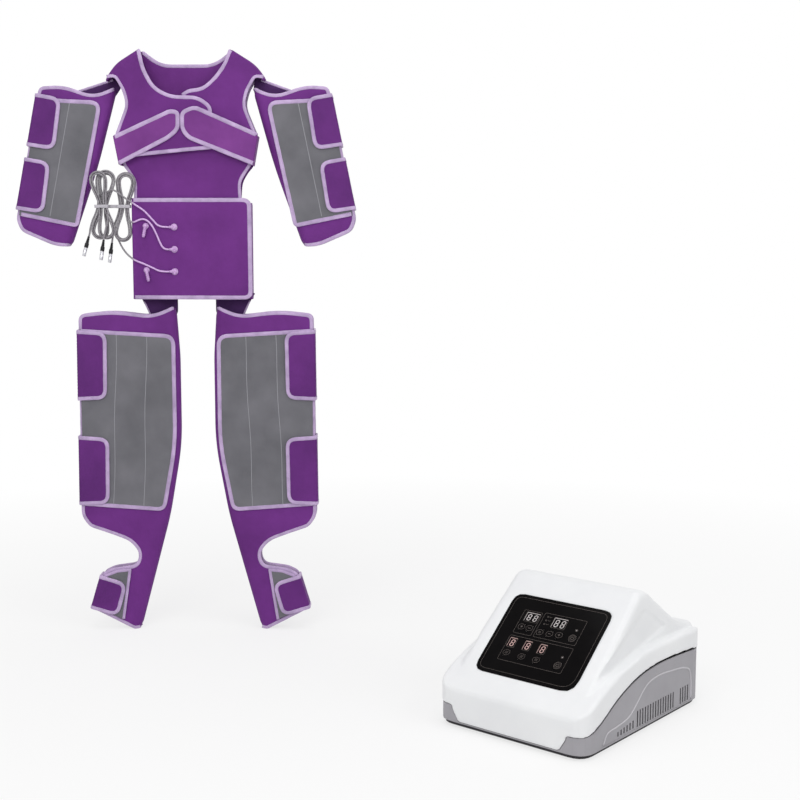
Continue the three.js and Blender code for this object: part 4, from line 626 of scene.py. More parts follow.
def left_of(ways):
    """Directions a quarter turn to the left, which is inward on an anticlockwise outline."""
    return np.column_stack([-ways[:, 1], ways[:, 0]])


def squared(value, power):
    """A cosine or sine, raised to a power with its sign kept, for a ring with flatter sides."""
    return math.copysign(abs(value) ** power, value)


def nearest_edge(points, starts, ends):
    """Distance to the nearest of some segments, and that segment's inward normal."""
    distance = np.empty(len(points))
    normal = np.empty((len(points), 2))
    along = ends - starts
    square = np.maximum((along ** 2).sum(1), 1e-9)
    inward = left_of(along) / np.sqrt(square)[:, None]
    for low in range(0, len(points), 1500):
        part = points[low:low + 1500, None, :]
        share = np.clip(((part - starts) * along).sum(2) / square, 0, 1)
        gap = np.hypot(*np.moveaxis(part - (starts + share[..., None] * along), 2, 0))
        k = gap.argmin(1)
        distance[low:low + 1500] = gap[np.arange(len(k)), k]
        normal[low:low + 1500] = inward[k]
    return distance, normal


def from_edge(points, outline):
    """Distance of points from an outline."""
    return nearest_edge(points, outline, np.roll(outline, -1, axis=0))[0]


def is_inside(points, outline):
    """Which points lie inside an outline."""
    x, y = points[:, :1], points[:, 1:]
    ax, ay = outline.T
    bx, by = np.roll(outline, -1, axis=0).T
    crosses = (ay > y) != (by > y)
    at = ax + (y - ay) * (bx - ax) / np.where(by == ay, 1e-12, by - ay)
    return (crosses & (x < at)).sum(1) % 2 == 1


# How far inside a cloth piece's outline its rings of vertices lie, in millimetres
EDGE_RINGS = (1.2, 3.0, 6.0, 10.0)


def cloth_grid(outline, spacing):
    """Places and triangles that fill an outline: rings near its edge, then an even grid."""
    inward = left_of(ways_along(outline, closed=True))
    taken = [outline]
    for ring in EDGE_RINGS:
        inset = outline + inward * ring
        kept = (from_edge(inset, outline) > ring * 0.97) & is_inside(inset, outline)
        taken.append(inset[kept])
    low, high = outline.min(0), outline.max(0)
    rows = []
    for k, y in enumerate(np.arange(low[1], high[1], spacing * 0.866)):
        x = np.arange(low[0] + (k % 2) * spacing / 2, high[0], spacing)
        rows.append(np.column_stack([x, np.full(len(x), y)]))
    grid = np.vstack(rows)
    grid = grid[is_inside(grid, outline)]
    grid = grid[from_edge(grid, outline) > EDGE_RINGS[-1] + spacing * 0.5]
    taken.append(grid)
    everything = np.vstack(taken)
    count = len(outline)
    edges = [(i, (i + 1) % count) for i in range(count)]
    verts, _, faces, *_ = delaunay_2d_cdt([Vector(p) for p in everything], edges, [], 1, 0.05)
    places = np.array([tuple(v) for v in verts])
    faces = np.array([f for f in faces if len(f) == 3])
    a, b, c = (places[faces[:, k]] for k in range(3))
    area = (b[:, 0] - a[:, 0]) * (c[:, 1] - a[:, 1]) - (b[:, 1] - a[:, 1]) * (c[:, 0] - a[:, 0])
    faces[area < 0] = faces[area < 0][:, ::-1]
    return places, faces


def eased_in(share):
    share = np.clip(share, 0, 1)
    return share * share * (3 - 2 * share)


def wrinkles(x, z, seed, large=1.0, small=1.0):
    """Soft folds of padded cloth, in millimetres, mostly inwards."""
    values = []
    for px, pz in zip(x, z):
        broad = noise.noise(Vector((px / 95, pz / 150, seed)))
        fold = noise.noise(Vector((px / 38 + 0.25 * broad, pz / 55, seed + 7.1)))
        fine = noise.noise(Vector((px / 13, pz / 17, seed + 3.7)))
        values.append(large * (1.5 * broad - 0.7) + small * (0.8 * fold + 0.25 * fine))
    return np.array(values)


def puckers(x, z, distance, seed):
    """Short ripples that the stitching draws into a bound edge."""
    near = np.exp(-((distance - 11) / 7) ** 2)
    ripple = np.array([noise.noise(Vector((px / 9, pz / 9, seed))) for px, pz in zip(x, z)])
    return near * ripple * 1.3


def parted(outline, folded=None):
    """An outline's folded segments and its others, each as starts and ends."""
    ends = np.roll(outline, -1, axis=0)
    fold = folded((outline + ends) / 2) if folded else np.zeros(len(outline), bool)
    return (outline[fold], ends[fold]), (outline[~fold], ends[~fold])


def thinned(full, share, away, run):
    """A thickness that grows from a share of it at an edge to all of it a run away."""
    return full * (share + (1 - share) * eased_in(away / run))


class FlatPad:
    """A padded layer between two depths, its bound edges thinner and its folded edges round."""

    def __init__(self, outline, back, front, folded=None, seed=1.0, relief=1.0):
        self.outline, self.back, self.front = outline, back, front
        self.seed, self.relief = seed, relief
        self.folds, self.bound = parted(outline, folded)

    def thickness(self, points):
        full = self.front - self.back
        size = thinned(full, 0.55, nearest_edge(points, *self.bound)[0], 13)
        if len(self.folds[0]):
            away = nearest_edge(points, *self.folds)[0]
            size = np.minimum(size, full * np.sqrt(1 - (1 - np.clip(2 * away / full, 0, 1)) ** 2))
        return size

    def sides(self, points):
        """Front and back places (x, depth, z) of points of the pattern."""
        x, z = points.T
        size = self.thickness(points)
        away = from_edge(points, self.outline)
        inner = eased_in(away / 18)
        wave = wrinkles(x, z, self.seed) * inner * self.relief
        wave += puckers(x, z, away, self.seed + 2) * self.relief * eased_in(away / 4)
        wave = np.clip(wave, -0.35 * size, 1.2)
        centre = (self.front + self.back) / 2
        front = np.column_stack([x, centre + size / 2 + wave, z])
        back = np.column_stack([x, centre - size / 2 + np.clip(wave, 0, 0.3 * size), z])
        return front, back


class StripPad:
    """A padded strip square to the pattern: along a line of it, from one depth to another."""

    def __init__(self, line, back, front, thickness, bulge=0.0):
        self.line = np.array(line, float)
        self.at = np.append(0, np.cumsum(np.hypot(*np.diff(self.line, axis=0).T)))
        self.size, self.bulge = thickness, bulge
        self.back, self.front = back, front
        length = self.at[-1]
        self.outline = rounded_outline([
            (0, back, 2), (length, back, 2), (length, front, 2), (0, front, 2)], 5)

    def sides(self, points):
        v, w = points.T

        def place(at):
            return np.column_stack([np.interp(at, self.at, axis) for axis in self.line.T])

        out = left_of(unit(place(v + 3) - place(v - 3)))
        arch = self.bulge * np.sin(np.pi * (w - self.back) / (self.front - self.back))
        base = place(v) + out * arch[:, None]
        away = from_edge(points, self.outline)
        offset = out * thinned(self.size / 2, 0.7, away, 8)[:, None]
        return [np.column_stack([flat[:, 0], w, flat[:, 1]])
                for flat in (base + offset, base - offset)]


# A hook tab's bend radius at its middle, and how far above the back its wall ends
TAB_BEND, TAB_WALL_END = 3.2, 2.6


class BentTab:
    """A hook tab: a flange on the front of a limb that bends back round the limb's open edge.

    Its pattern is unrolled: q runs outward across the bend, v up along the edge."""

    def __init__(self, side, centre, low, high, corners, back, seed):
        half = TAB_THICKNESS / 2
        base = np.array([centre + side * (low[0] + GAP + half), low[1]])
        top = np.array([centre + side * (high[0] + GAP + half), high[1]])
        self.origin = base
        self.up = (top - base) / np.hypot(*(top - base))
        self.out = side * np.array([self.up[1], -self.up[0]])
        self.side, self.seed, self.depth = side, seed, back + half
        flange = []
        for x, z, radius in mirrored(side, centre, corners):
            step = np.array([x, z]) - base
            flange.append((min(step @ self.out, -TAB_BEND + 2), step @ self.up, radius))
        wall = self.depth - TAB_WALL_END - TAB_BEND
        self.reach = -TAB_BEND + TAB_BEND * math.pi / 2 + wall
        inner = [c for c in flange if c[0] < -TAB_BEND]
        outer = [c[1] for c in flange if c[0] >= -TAB_BEND]
        self.v_low, self.v_high = min(outer), max(outer)
        walls = [(self.reach, self.v_low, 3), (self.reach, self.v_high, 3)]
        if inner[0][1] <= inner[-1][1]:
            walls.reverse()
        self.outline = rounded_outline([*inner, *walls], 4)

    def centre_line(self, q):
        """Outward place, depth, and outward and forward parts of the normal, for each q."""
        angle = np.clip((q + TAB_BEND) / TAB_BEND, 0, math.pi / 2)
        across = np.where(q < -TAB_BEND, q, TAB_BEND * np.sin(angle) - TAB_BEND)
        depth = self.depth - TAB_BEND * (1 - np.cos(angle))
        past = np.maximum(q + TAB_BEND - TAB_BEND * math.pi / 2, 0)
        return across, depth - past, np.sin(angle), np.cos(angle)

    def sides(self, points):
        q, v = points.T
        across, depth, normal_out, normal_front = self.centre_line(q)
        away = from_edge(points, self.outline)
        half = thinned(TAB_THICKNESS / 2, 0.72, away, 10)
        wave = wrinkles(q * self.side, v, self.seed, 0.5, 0.6) * eased_in(away / 14)
        wave += puckers(q, v, away, self.seed) * 0.7 * eased_in(away / 4)
        wave = np.clip(wave, -1.2, 0.8) * np.where(q < -TAB_BEND - 6, 1, 0.35)
        places = []
        for offset in (half + wave, -half + np.clip(wave, 0, 0.6)):
            out = across + normal_out * offset
            flat = self.origin + self.up * v[:, None] + self.out * out[:, None]
            places.append(np.column_stack([flat[:, 0], depth + normal_front * offset, flat[:, 1]]))
        return places


class FoldedLimb:
    """A sleeve or leg: a padded layer folded at its inner edge, open on the outer side."""

    def __init__(self, outline, fold_line, seed, quiet):
        self.outline, self.seed, self.quiet = outline, seed, quiet
        line = np.array(fold_line, float)
        steep = np.abs(unit(np.roll(outline, -1, axis=0) - outline)[:, 1]) > 0.5

        def folded(middle):
            near = nearest_edge(middle, line[:-1], line[1:])[0] < 15
            up, (low, high) = middle[:, 1], (line[:, 1].min(), line[:, 1].max())
            return near & (up < high - 12) & (up > low + 5) & steep

        self.folds, self.open = parted(outline, folded)

    def sides(self, points, sign):
        """Outer and inner places of the front (+1) or back (-1) layer."""
        x, z = points.T
        radius = LIMB_DEPTH / 2
        from_fold, inward = nearest_edge(points, *self.folds)
        from_open = nearest_edge(points, *self.open)[0]
        lean = 1 - np.clip(from_fold / radius, 0, 1)
        rise = np.sqrt(1 - lean ** 2)
        size = thinned(WALL, 0.5, from_open, 14)
        soft = eased_in(from_fold / 24) * eased_in(from_open / 22)
        wave = wrinkles(x, z, self.seed + sign)
        wave = wave * soft + puckers(x, z, from_open, self.seed) * eased_in(from_open / 4) * soft
        if sign > 0:
            under = is_inside(points, self.quiet)
            wave = np.where(under, np.minimum(wave, -0.6), wave)
        wave = np.clip(wave, -3.0, 1.4)
        normal = np.column_stack([-lean * inward[:, 0], sign * rise, -lean * inward[:, 1]])
        surface = np.column_stack([x, radius + sign * radius * rise, z])
        outer = surface - normal * ((WALL - size) / 2 - wave)[:, None]
        inner = surface - normal * ((WALL + size) / 2 - wave * 0.4)[:, None]
        return outer, inner


def to_scene(places):
    """Pattern places (x, depth, z) in millimetres, in the scene."""
    return np.column_stack([
        SUIT_X + places[:, 0] / 1000, SUIT_Y - places[:, 1] / 1000, places[:, 2] / 1000])


def rim(faces):
    """The edges that only one triangle has, in that triangle's direction."""
    edges = {}
    for a, b, c in faces:
        for edge in ((a, b), (b, c), (c, a)):
            edges[edge] = True
    return [(a, b) for a, b in edges if (b, a) not in edges]


def add_pad(name, pad, spacing, cloth, *nodes, body=SUIT, slot="purple_fabric", fill=0.25):
    """The closed mesh of a pad, settled on its body; returns the pad."""
    places, faces = cloth_grid(pad.outline, spacing)
    front, back = pad.sides(places)
    count = len(places)
    verts = np.vstack([to_scene(front), to_scene(back)])
    every = [tuple(f) for f in faces] + [tuple(f[::-1] + count) for f in faces]
    every += [(b, a, a + count, b + count) for a, b in rim(faces)]
    piece = closed_piece(name, verts, [tuple(map(int, f)) for f in every], cloth)
    settle(piece, body, slot, *nodes, fill=fill)
    return pad


def limb_piece(name, limb, spacing, material, shaded_inner_cloth):
    """The closed mesh of a folded limb, its inner faces in a darker cloth that is painted shade."""
    places, faces = cloth_grid(limb.outline, spacing)
    count = len(places)
    verts = []
    for sign in (1, -1):
        verts += [to_scene(part) for part in limb.sides(places, sign)]
    every, picks = [], []
    # Inner faces take the darker cloth: painted shade inside the limb
    for part, way, pick in ((0, 1, 0), (1, -1, 1), (2, -1, 0), (3, 1, 1)):
        every += [tuple(face[::way] + part * count) for face in faces]
        picks += [pick] * len(faces)
    on_fold = nearest_edge(places, *limb.folds)[0] < 0.05
    for a, b in rim(faces):
        if on_fold[a] and on_fold[b]:
            continue
        every.append((b, a, a + count, b + count))
        every.append((a + 2 * count, b + 2 * count, b + 3 * count, a + 3 * count))
        picks += [0, 0]
    faces = [tuple(map(int, f)) for f in every]
    return closed_piece(name, np.vstack(verts), faces, material, shaded_inner_cloth, picks=picks)


def portion(outline, start, end):
    """The part of an anticlockwise outline from near one point to near another."""
    first = np.hypot(*(outline - np.array(start)).T).argmin()
    last = np.hypot(*(outline - np.array(end)).T).argmin()
    if last <= first:
        last += len(outline)
    return outline[np.arange(first, last + 1) % len(outline)]


class Tape:
    """Collects binding tapes, seams and stitch lines that lie on one body."""

    def __init__(self):
        self.verts, self.faces, self.lines = [], [], []

    def bind(self, pad, start, end, width=11, **layer):
        """Wraps tape round a pad's edge, from near one point of its outline to near another."""
        line = portion(pad.outline, start, end)
        inward = left_of(ways_along(line))
        edge = pad.sides(line + inward * 0.3, **layer)
        inner = pad.sides(line + inward * width * 0.75, **layer)
        rim_middle = (edge[0] + edge[1]) / 2
        out = unit(rim_middle - (inner[0] + inner[1]) / 2)
        thick = edge[0] - edge[1]
        size = np.linalg.norm(thick, axis=1)
        size_inner = np.linalg.norm(inner[0] - inner[1], axis=1)
        thick /= np.maximum(size, 1e-6)[:, None]
        half = (np.maximum(size, 2) + size_inner) / 4 + 1
        centre = rim_middle - out * (width / 2 - 1)
        base, sides = len(self.verts), 16
        for i, point in enumerate(line):
            sway = 0.35 * noise.noise(Vector((*point, 9)) / 14)
            for c, s in angles(sides):
                a = squared(c, 0.55) * (width / 2 + sway)
                b = squared(s, 0.7) * half[i]
                if c < 0:
                    b *= 1 + 0.12 * (size_inner[i] / max(size[i], 2) - 1)
                self.verts.append(centre[i] + out[i] * a + thick[i] * b)
        self.faces += tube_faces(base, len(line), sides)
        self.lines.append(centre - out * (width / 2 - 2.2) + thick * (half + 0.1)[:, None])

    def seam(self, pad, line, width=2.4, height=0.5):
        """A flat welt of thread and cloth over a sewn line on the front of a pad."""
        front = pad.sides(line)[0]
        out = np.cross(unit(np.gradient(front, axis=0)), (0, 1, 0))
        section = ((-0.5, -0.6), (-0.38, 0.6), (0, 1), (0.38, 0.6), (0.5, -0.6))
        base = len(self.verts)
        self.verts += [point + way * a * width + np.array([0, b * height, 0])
                       for point, way in zip(front, out) for a, b in section]
        self.faces += tube_faces(base, len(line), len(section))

    def piece(self, name, material, body):
        """The tapes as one closed mesh riding on a body."""
        tape = closed_piece(name, to_scene(np.array(self.verts)), self.faces, material)
        settle(tape, body, "purple_fabric")


def on_vest(side, corners):
    return mirrored(side, VEST_X, corners)


# Corners of the vest from its middle line: shoulder and armhole, then each front's inner side
ARMHOLE = [
    (NECK_HALF, NECK_TOP, 4), (NECK_HALF + 64, NECK_TOP - 40, 34), (SHOULDER_OUT, SHOULDER_LOW, 0),
    (ARMHOLE_IN + 26, SHOULDER_LOW + 3, 8), (ARMHOLE_IN + 6, SHOULDER_LOW - 32, 10),
    (ARMHOLE_IN - 4, CHEST_TOP + 80, 30), (CHEST_HALF, CHEST_TOP, 10)]
LEFT_FRONT = [
    (-NECK_HALF + 10, NECK_TOP - 50, 20), (-NECK_HALF + 36, NECK_TOP - 100, 26),
    (-NECK_HALF + 80, NECK_TOP - 122, 20), (36, NECK_TOP - 124, 30), (70, NECK_TOP - 150, 14),
    (70, FRONT_BOTTOM + 6, 6), (0, FRONT_BOTTOM, 60), (-CHEST_LOW_HALF - 3, FRONT_BOTTOM - 18, 6)]
RIGHT_FRONT = [
    (NECK_HALF - 14, NECK_TOP - 36, 16), (NECK_HALF - 42, NECK_TOP - 75, 20),
    (NECK_HALF - 74, NECK_TOP - 101, 16), (6, NECK_TOP - 106, 10), (-12, NECK_TOP - 118, 4),
    (-12, FRONT_BOTTOM + 10, 4), (62, FRONT_BOTTOM + 14, 14),
    (CHEST_LOW_HALF + 3, FRONT_BOTTOM - 18, 6)]


def vest_back_outline():
    sides = ARMHOLE + [
        (CHEST_LOW_HALF, CHEST_LOW, 4), (CHEST_LOW_HALF - 14, CHEST_LOW - 16, 12),
        (WAIST_IN + 6, CHEST_LOW - 42, 16), (WAIST_IN + 2, WRAP_TOP - 8, 4)]
    waist = [
        (WRAP_LEFT + 2, WRAP_TOP - 18, 4), (WRAP_LEFT + 2, WRAP_BOTTOM + 3, 4),
        (WRAP_RIGHT - 2, WRAP_BOTTOM + 3, 4), (WRAP_RIGHT - 2, WRAP_TOP - 18, 4)]
    neck = [
        (VEST_X + NECK_HALF * 0.6, NECK_TOP - NECK_DIP + 8, 30),
        (VEST_X - NECK_HALF * 0.6, NECK_TOP - NECK_DIP + 8, 30)]
    return rounded_outline(
        [*on_vest(-1, sides), *waist, *on_vest(1, sides)[::-1], *neck], 5)


def front_outline(side, inner):
    return rounded_outline(on_vest(side, ARMHOLE)[::-1] + on_vest(1, inner), 4)


def abdomen_outline():
    side = [(CHEST_LOW_HALF + 8, ABDOMEN_TOP, 6), (CHEST_LOW_HALF - 4, CHEST_LOW, 4),
            (CHEST_LOW_HALF - 16, CHEST_LOW - 17, 12), (WAIST_IN + 4, CHEST_LOW - 42, 16),
            (WAIST_IN + 6, WRAP_TOP - 6, 6)]
    waist = [
        (WRAP_LEFT + WALL + GAP, WRAP_TOP - 22, 4), (WRAP_LEFT + WALL + GAP, WRAP_BOTTOM + 14, 6),
        (WRAP_RIGHT - WALL - GAP, WRAP_BOTTOM + 14, 6), (WRAP_RIGHT - WALL - GAP, WRAP_TOP - 22, 4)]
    return rounded_outline([*on_vest(-1, side), *waist, *on_vest(1, side)[::-1]], 5)


def strap_outline(side):
    tip = STRAP_END + (STRAP_SPLIT if side > 0 else 0)

    def inward(x):
        return side * (x - VEST_X)

    hinge = GAP + TAB_THICKNESS / 2
    return rounded_outline(on_vest(side, [
        (CHEST_HALF + hinge + 2.4, CHEST_TOP + (4 if side > 0 else -2), 2),
        (inward(20 if side > 0 else -44), CHEST_TOP + (78 if side > 0 else 68), 16),
        (inward(-tip if side > 0 else -tip - 5), CHEST_TOP + 62, 16),
        (inward(-tip if side > 0 else -tip - 5), CHEST_TOP + 14, 16),
        (inward(0 if side > 0 else -48), CHEST_TOP - 10, 14),
        (CHEST_LOW_HALF + hinge + 2.4, CHEST_LOW + 0.5, 2)]), 4)


def build_vest(purple, strap_cloth, tape):
    """Back, two crossing fronts, belly panel, shoulder and side bands, and the chest straps."""
    back, left, right, belly = [
        add_pad(name, FlatPad(outline, low, low + thickness, seed=seed), spacing, purple, node)
        for name, node, outline, low, thickness, spacing, seed in (
            ("vest_back_panel", "vest_back", vest_back_outline(), 0, WALL, 7, 4.2),
            ("vest_left_front", "vest_front_left", front_outline(-1, LEFT_FRONT),
             FRONT_LEFT_BACK, FRONT_THICKNESS, 6, 11.3),
            ("vest_right_front", "vest_front_right", front_outline(1, RIGHT_FRONT),
             FRONT_RIGHT_BACK, FRONT_THICKNESS, 6, 17.9),
            ("belly_panel", "abdomen_panel", abdomen_outline(),
             ABDOMEN_BACK, ABDOMEN_THICKNESS, 6, 23.1))]

    def pair(x, z):
        return {side: (VEST_X + side * x, z) for side in (-1, 1)}

    tips, necks = pair(SHOULDER_OUT, SHOULDER_LOW), pair(NECK_HALF, NECK_TOP)
    chests, lows = pair(CHEST_HALF, CHEST_TOP), pair(CHEST_LOW_HALF, FRONT_BOTTOM - 16)
    for pad, start, end, width in (
            (back, necks[1], necks[-1], 11),
            (back, (WRAP_LEFT + 8, WRAP_BOTTOM), (WRAP_RIGHT - 8, WRAP_BOTTOM), 9),
            (back, tips[-1], chests[-1], 9), (back, chests[1], tips[1], 9),
            (left, tips[-1], chests[-1], 9), (right, chests[1], tips[1], 9),
            (left, lows[-1], necks[-1], 11),
            (right, necks[1], (VEST_X - 12, NECK_TOP - 118), 11),
            (right, (VEST_X + 62, FRONT_BOTTOM + 12), lows[1], 9)):
        tape.bind(pad, start, end, width)
    for side, _ in SIDES:
        ends = on_vest(side, [
            (CHEST_LOW_HALF + 2, ABDOMEN_TOP - 30), (WAIST_IN + 6, WRAP_TOP - 8)])
        tape.bind(belly, *ends[::-side], 9)

    for side, label in SIDES:
        front = FRONT_LEFT_BACK if side < 0 else FRONT_RIGHT_BACK
        ridge = portion(back.outline, *(necks[side], tips[side])[::-side])[::-side]
        strap_side = on_vest(side, [
            (CHEST_HALF + GAP + 1.4, CHEST_TOP - 1), (CHEST_LOW_HALF + GAP + 1.4, CHEST_LOW + 1)])
        chest_side = on_vest(side, [
            (CHEST_HALF - 6, CHEST_TOP - 5), (CHEST_LOW_HALF - 5, CHEST_LOW + 3)])
        edge = (WRAP_LEFT if side < 0 else WRAP_RIGHT) - side * WALL / 2
        waist = [(edge, WRAP_TOP - 12), (edge, WRAP_BOTTOM)]
        for name, cloth, strip in (
                ("shoulder_band", purple, (ridge + np.array((0, -6)), 4, front + 4, 6, 5 * side)),
                ("strap_side", strap_cloth, (strap_side, 0.5, STRAP_BACK - GAP, 4.6)),
                ("side_band", purple, (chest_side, 5, WALL + LUMEN, 7)),
                ("waist_side", purple, (waist, 0, WRAP_BACK - GAP, WALL))):
            add_pad(f"{name}_{label}", StripPad(*strip), 6, cloth)

        def at_hinge(p):
            return side * (p[:, 0] - VEST_X) > CHEST_LOW_HALF + 2 + (p[:, 1] - CHEST_LOW) * 0.175

        name = f"chest_strap_{label}"
        strap = FlatPad(strap_outline(side), STRAP_BACK, STRAP_BACK + TAB_THICKNESS, at_hinge,
                        seed=31 + side, relief=0.6)
        add_pad(f"{name}_pad", strap, 5, strap_cloth, name,
                body=f"{name}_body", slot="strap_fabric", fill=0.3)
        edge_tape = Tape()
        ends = on_vest(side, [(CHEST_HALF + 4, CHEST_TOP + 2), (CHEST_LOW_HALF + 4, CHEST_LOW + 1)])
        edge_tape.bind(strap, *ends[::side], 12)
        edge_tape.lines[-1] = edge_tape.lines[-1][3:-3]
        yield edge_tape, name, f"{name}_body"


def build_wrap(purple):
    """The waist wrap, round at its fold and bound on the other three sides."""
    corner = WRAP_CORNER * 1.5
    outline = rounded_outline([
        (WRAP_LEFT, WRAP_BOTTOM + 1, 0), (WRAP_RIGHT + 1, WRAP_BOTTOM, corner),
        (WRAP_RIGHT, WRAP_TOP, corner), (WRAP_LEFT, WRAP_TOP, 0)], 5)
    wrap = FlatPad(outline, WRAP_BACK, WRAP_FRONT, lambda p: p[:, 0] < WRAP_LEFT + 2, seed=41.7)
    add_pad("waist_wrap_pad", wrap, 6, purple, "waist_wrap", body="waist_wrap_body", fill=0.35)
    tape = Tape()
    tape.bind(wrap, (WRAP_LEFT + 3, WRAP_BOTTOM), (WRAP_LEFT + 3, WRAP_TOP), 13)
    return tape, "waist_wrap", "waist_wrap_body"


# Corners of a right leg and of its panels, and where its bound edges end
LEG = [
    (LEG_INNER + 9, LEG_TOP + 18, 12), (LEG_INNER + 72, LEG_TOP - 9, 30),
    (LEG_OUTER - 96, LEG_TOP + 4, 40), (LEG_OUTER - 4, LEG_TOP - 6, 18),
    (LEG_OUTER + 2, CALF_BOTTOM - 2, 16), (LEG_OUTER - 19, CALF_BOTTOM - 32, 12),
    (LEG_OUTER - 78, HEEL_UPPER + 22, 30), (HEEL_IN + 22, HEEL_UPPER + 2, 20),
    (HEEL_IN - 4, HEEL_UPPER - 30, 18), (HEEL_IN + 4, HEEL_LOWER + 2, 20),
    (HEEL_IN + 75, HEEL_LOWER - 8, 22), (FOOT_OUTER - 30, HEEL_LOWER - 22, 10),
    (FOOT_OUTER, FOOT_RISE, 12), (FOOT_INNER + FOOT_HEM, 0, 0), (FOOT_INNER, 0, 0),
    (CALF_INNER, CALF_BOTTOM, 40), (LEG_INNER, SHIN_TOP + 20, 60), (LEG_INNER, LEG_TOP - 120, 20)]
LEG_FOLD = [
    (LEG_INNER + 9, LEG_TOP + 18), (LEG_INNER, LEG_TOP - 120), (LEG_INNER, SHIN_TOP + 20),
    (CALF_INNER, CALF_BOTTOM), (FOOT_INNER, 0)]
LEG_LOOP = [
    (LEG_INNER + LEG_LOOP_MARGIN, LEG_LOOP_TOP - LEG_LOOP_DROP, 30),
    (LEG_OUTER - 6, LEG_LOOP_TOP, 2), (LEG_OUTER - 6, 350, 2),
    (CALF_INNER + LEG_LOOP_MARGIN, CALF_BOTTOM + 12, 24),
    (LEG_INNER + LEG_LOOP_MARGIN, SHIN_TOP + 20, 60)]
LEG_LOOP_ENDS = [(LEG_OUTER - 8, LEG_LOOP_TOP), (LEG_OUTER - 8, 350)]
FOOT_LOOP = [
    (FOOT_OUTER - 32, HEEL_LOWER - 28, 2), (FOOT_LOOP_REACH + 40, HEEL_LOWER - 12, 2),
    (FOOT_LOOP_REACH, HEEL_LOWER - 8, 2), (FOOT_LOOP_REACH + 22, FOOT_LOOP_TIP, 2),
    (FOOT_OUTER - 6, FOOT_RISE + 6, 2)]
FOOT_LOOP_ENDS = [(FOOT_OUTER - 34, HEEL_LOWER - 28), (FOOT_LOOP_REACH + 22, FOOT_LOOP_TIP)]


def build_tab(name, side, centre, low, high, corners, cloth, seed):
    """One hook tab with its binding, on its own body."""
    tab = BentTab(side, centre, low, high, corners, TAB_BACK, seed)
    body = f"{name}_body"
    add_pad(f"{name}_pad", tab, 5, cloth, name, body=body, slot="strap_fabric", fill=0.3)
    tape = Tape()
    tape.bind(tab, (tab.reach - 2, tab.v_high), (tab.reach - 2, tab.v_low))
    return tape, name, body


def add_loop(name, node, side, centre, corners, ends, cloth, tape, seed, spacing=6, width=11):
    """A brushed panel on a limb's front, bound on all but its outer edge, which two ends give."""
    loop = FlatPad(rounded_outline(mirrored(side, centre, corners), 5), LOOP_BACK,
                   LOOP_BACK + LOOP_THICKNESS, seed=seed + side, relief=0.35)
    add_pad(name, loop, spacing, cloth, node, slot="loop_fabric", fill=0.05)
    tape.bind(loop, *mirrored(side, centre, ends)[::side], width)
    return loop


def build_limb(kind, side, label, centre, corners, fold, loop_corners, ends, cloths, tape, seed):
    """A folded sleeve or leg, bound on its open edges, and its loop panel, which is returned."""
    purple, shaded_inner_cloth, loop_cloth, _ = cloths
    outline, loop_line = (
        rounded_outline(mirrored(side, centre, line), 5) for line in (corners, loop_corners))
    fold = mirrored(side, centre, fold)
    limb = FoldedLimb(outline, fold, seed + side, loop_line)
    piece = limb_piece(f"{kind}_{label}_layer", limb, 8, purple, shaded_inner_cloth)
    settle(piece, SUIT, "purple_fabric", f"{kind}_{label}", fill=0.25)
    for sign in (1, -1):
        tape.bind(limb, *(fold[-1], fold[0])[::side], sign=sign)
    return add_loop(f"{kind}_{label}_loop", f"{kind}_loop_panel_{label}", side, centre,
                    loop_corners, ends, loop_cloth, tape, seed + 10)


def build_leg(side, label, cloths, tape, seams):
    """A folded leg with its loop panels and three hook tabs."""
    loop = build_limb("leg", side, label, LEGS_X, LEG, LEG_FOLD, LEG_LOOP, LEG_LOOP_ENDS,
                      cloths, tape, 51)
    z = np.linspace(346, 824, 90)
    for low, high in ((150, 134), (234, 216)):
        x = np.linspace(low, high, 90) + 1.6 * np.sin(z / 47 + high + side)
        seams.seam(loop, np.column_stack([LEGS_X + side * x, z]))
    add_loop(f"foot_{label}_loop", f"foot_loop_panel_{label}", side, LEGS_X, FOOT_LOOP,
             FOOT_LOOP_ENDS, cloths[2], tape, 71, 5, 8)

    inner = LEG_OUTER - LEG_TAB_REACH
    edge_low, edge_high = (LEG_OUTER + 2, CALF_BOTTOM), (LEG_OUTER - 4, LEG_TOP - 6)
    for name, (bottom, top) in LEG_TABS.items():
        corners = [(LEG_OUTER + 20, top, 2), (inner, top - 8, TAB_CORNER),
                   (inner + 3, bottom + 5, TAB_CORNER), (LEG_OUTER + 20, bottom, 2)]
        yield build_tab(f"leg_tab_{name}_{label}", side, LEGS_X, edge_low, edge_high, corners,
                        cloths[3], 81 + side + bottom / 100)
    corners = [
        (FOOT_OUTER - 20, FOOT_RISE + 97, 4), (FOOT_TAB_REACH, FOOT_RISE + 72, TAB_CORNER),
        (FOOT_TAB_REACH + 26, FOOT_RISE - 22, TAB_CORNER), (FOOT_OUTER + 14, FOOT_RISE + 4, 4)]
    yield build_tab(f"foot_tab_{label}", side, LEGS_X, (FOOT_OUTER, FOOT_RISE),
                    (FOOT_OUTER - 30, HEEL_LOWER - 22), corners, cloths[3], 91 + side)


def sleeve_outer_at(z):
    return SLEEVE_TOP_OUTER + (SLEEVE_TOP - z) * (
        SLEEVE_CUFF_OUTER - SLEEVE_TOP_OUTER) / (SLEEVE_TOP - SLEEVE_CUFF_OUTER_Z)


def sleeve_inner_at(z):
    return SLEEVE_TOP_INNER + (SLEEVE_TOP - z) * (
        SLEEVE_CUFF_INNER - SLEEVE_TOP_INNER) / (SLEEVE_TOP - SLEEVE_CUFF_INNER_Z)


def sleeve_loop_inner_at(z):
    return sleeve_inner_at(z) + SLEEVE_LOOP_MARGIN


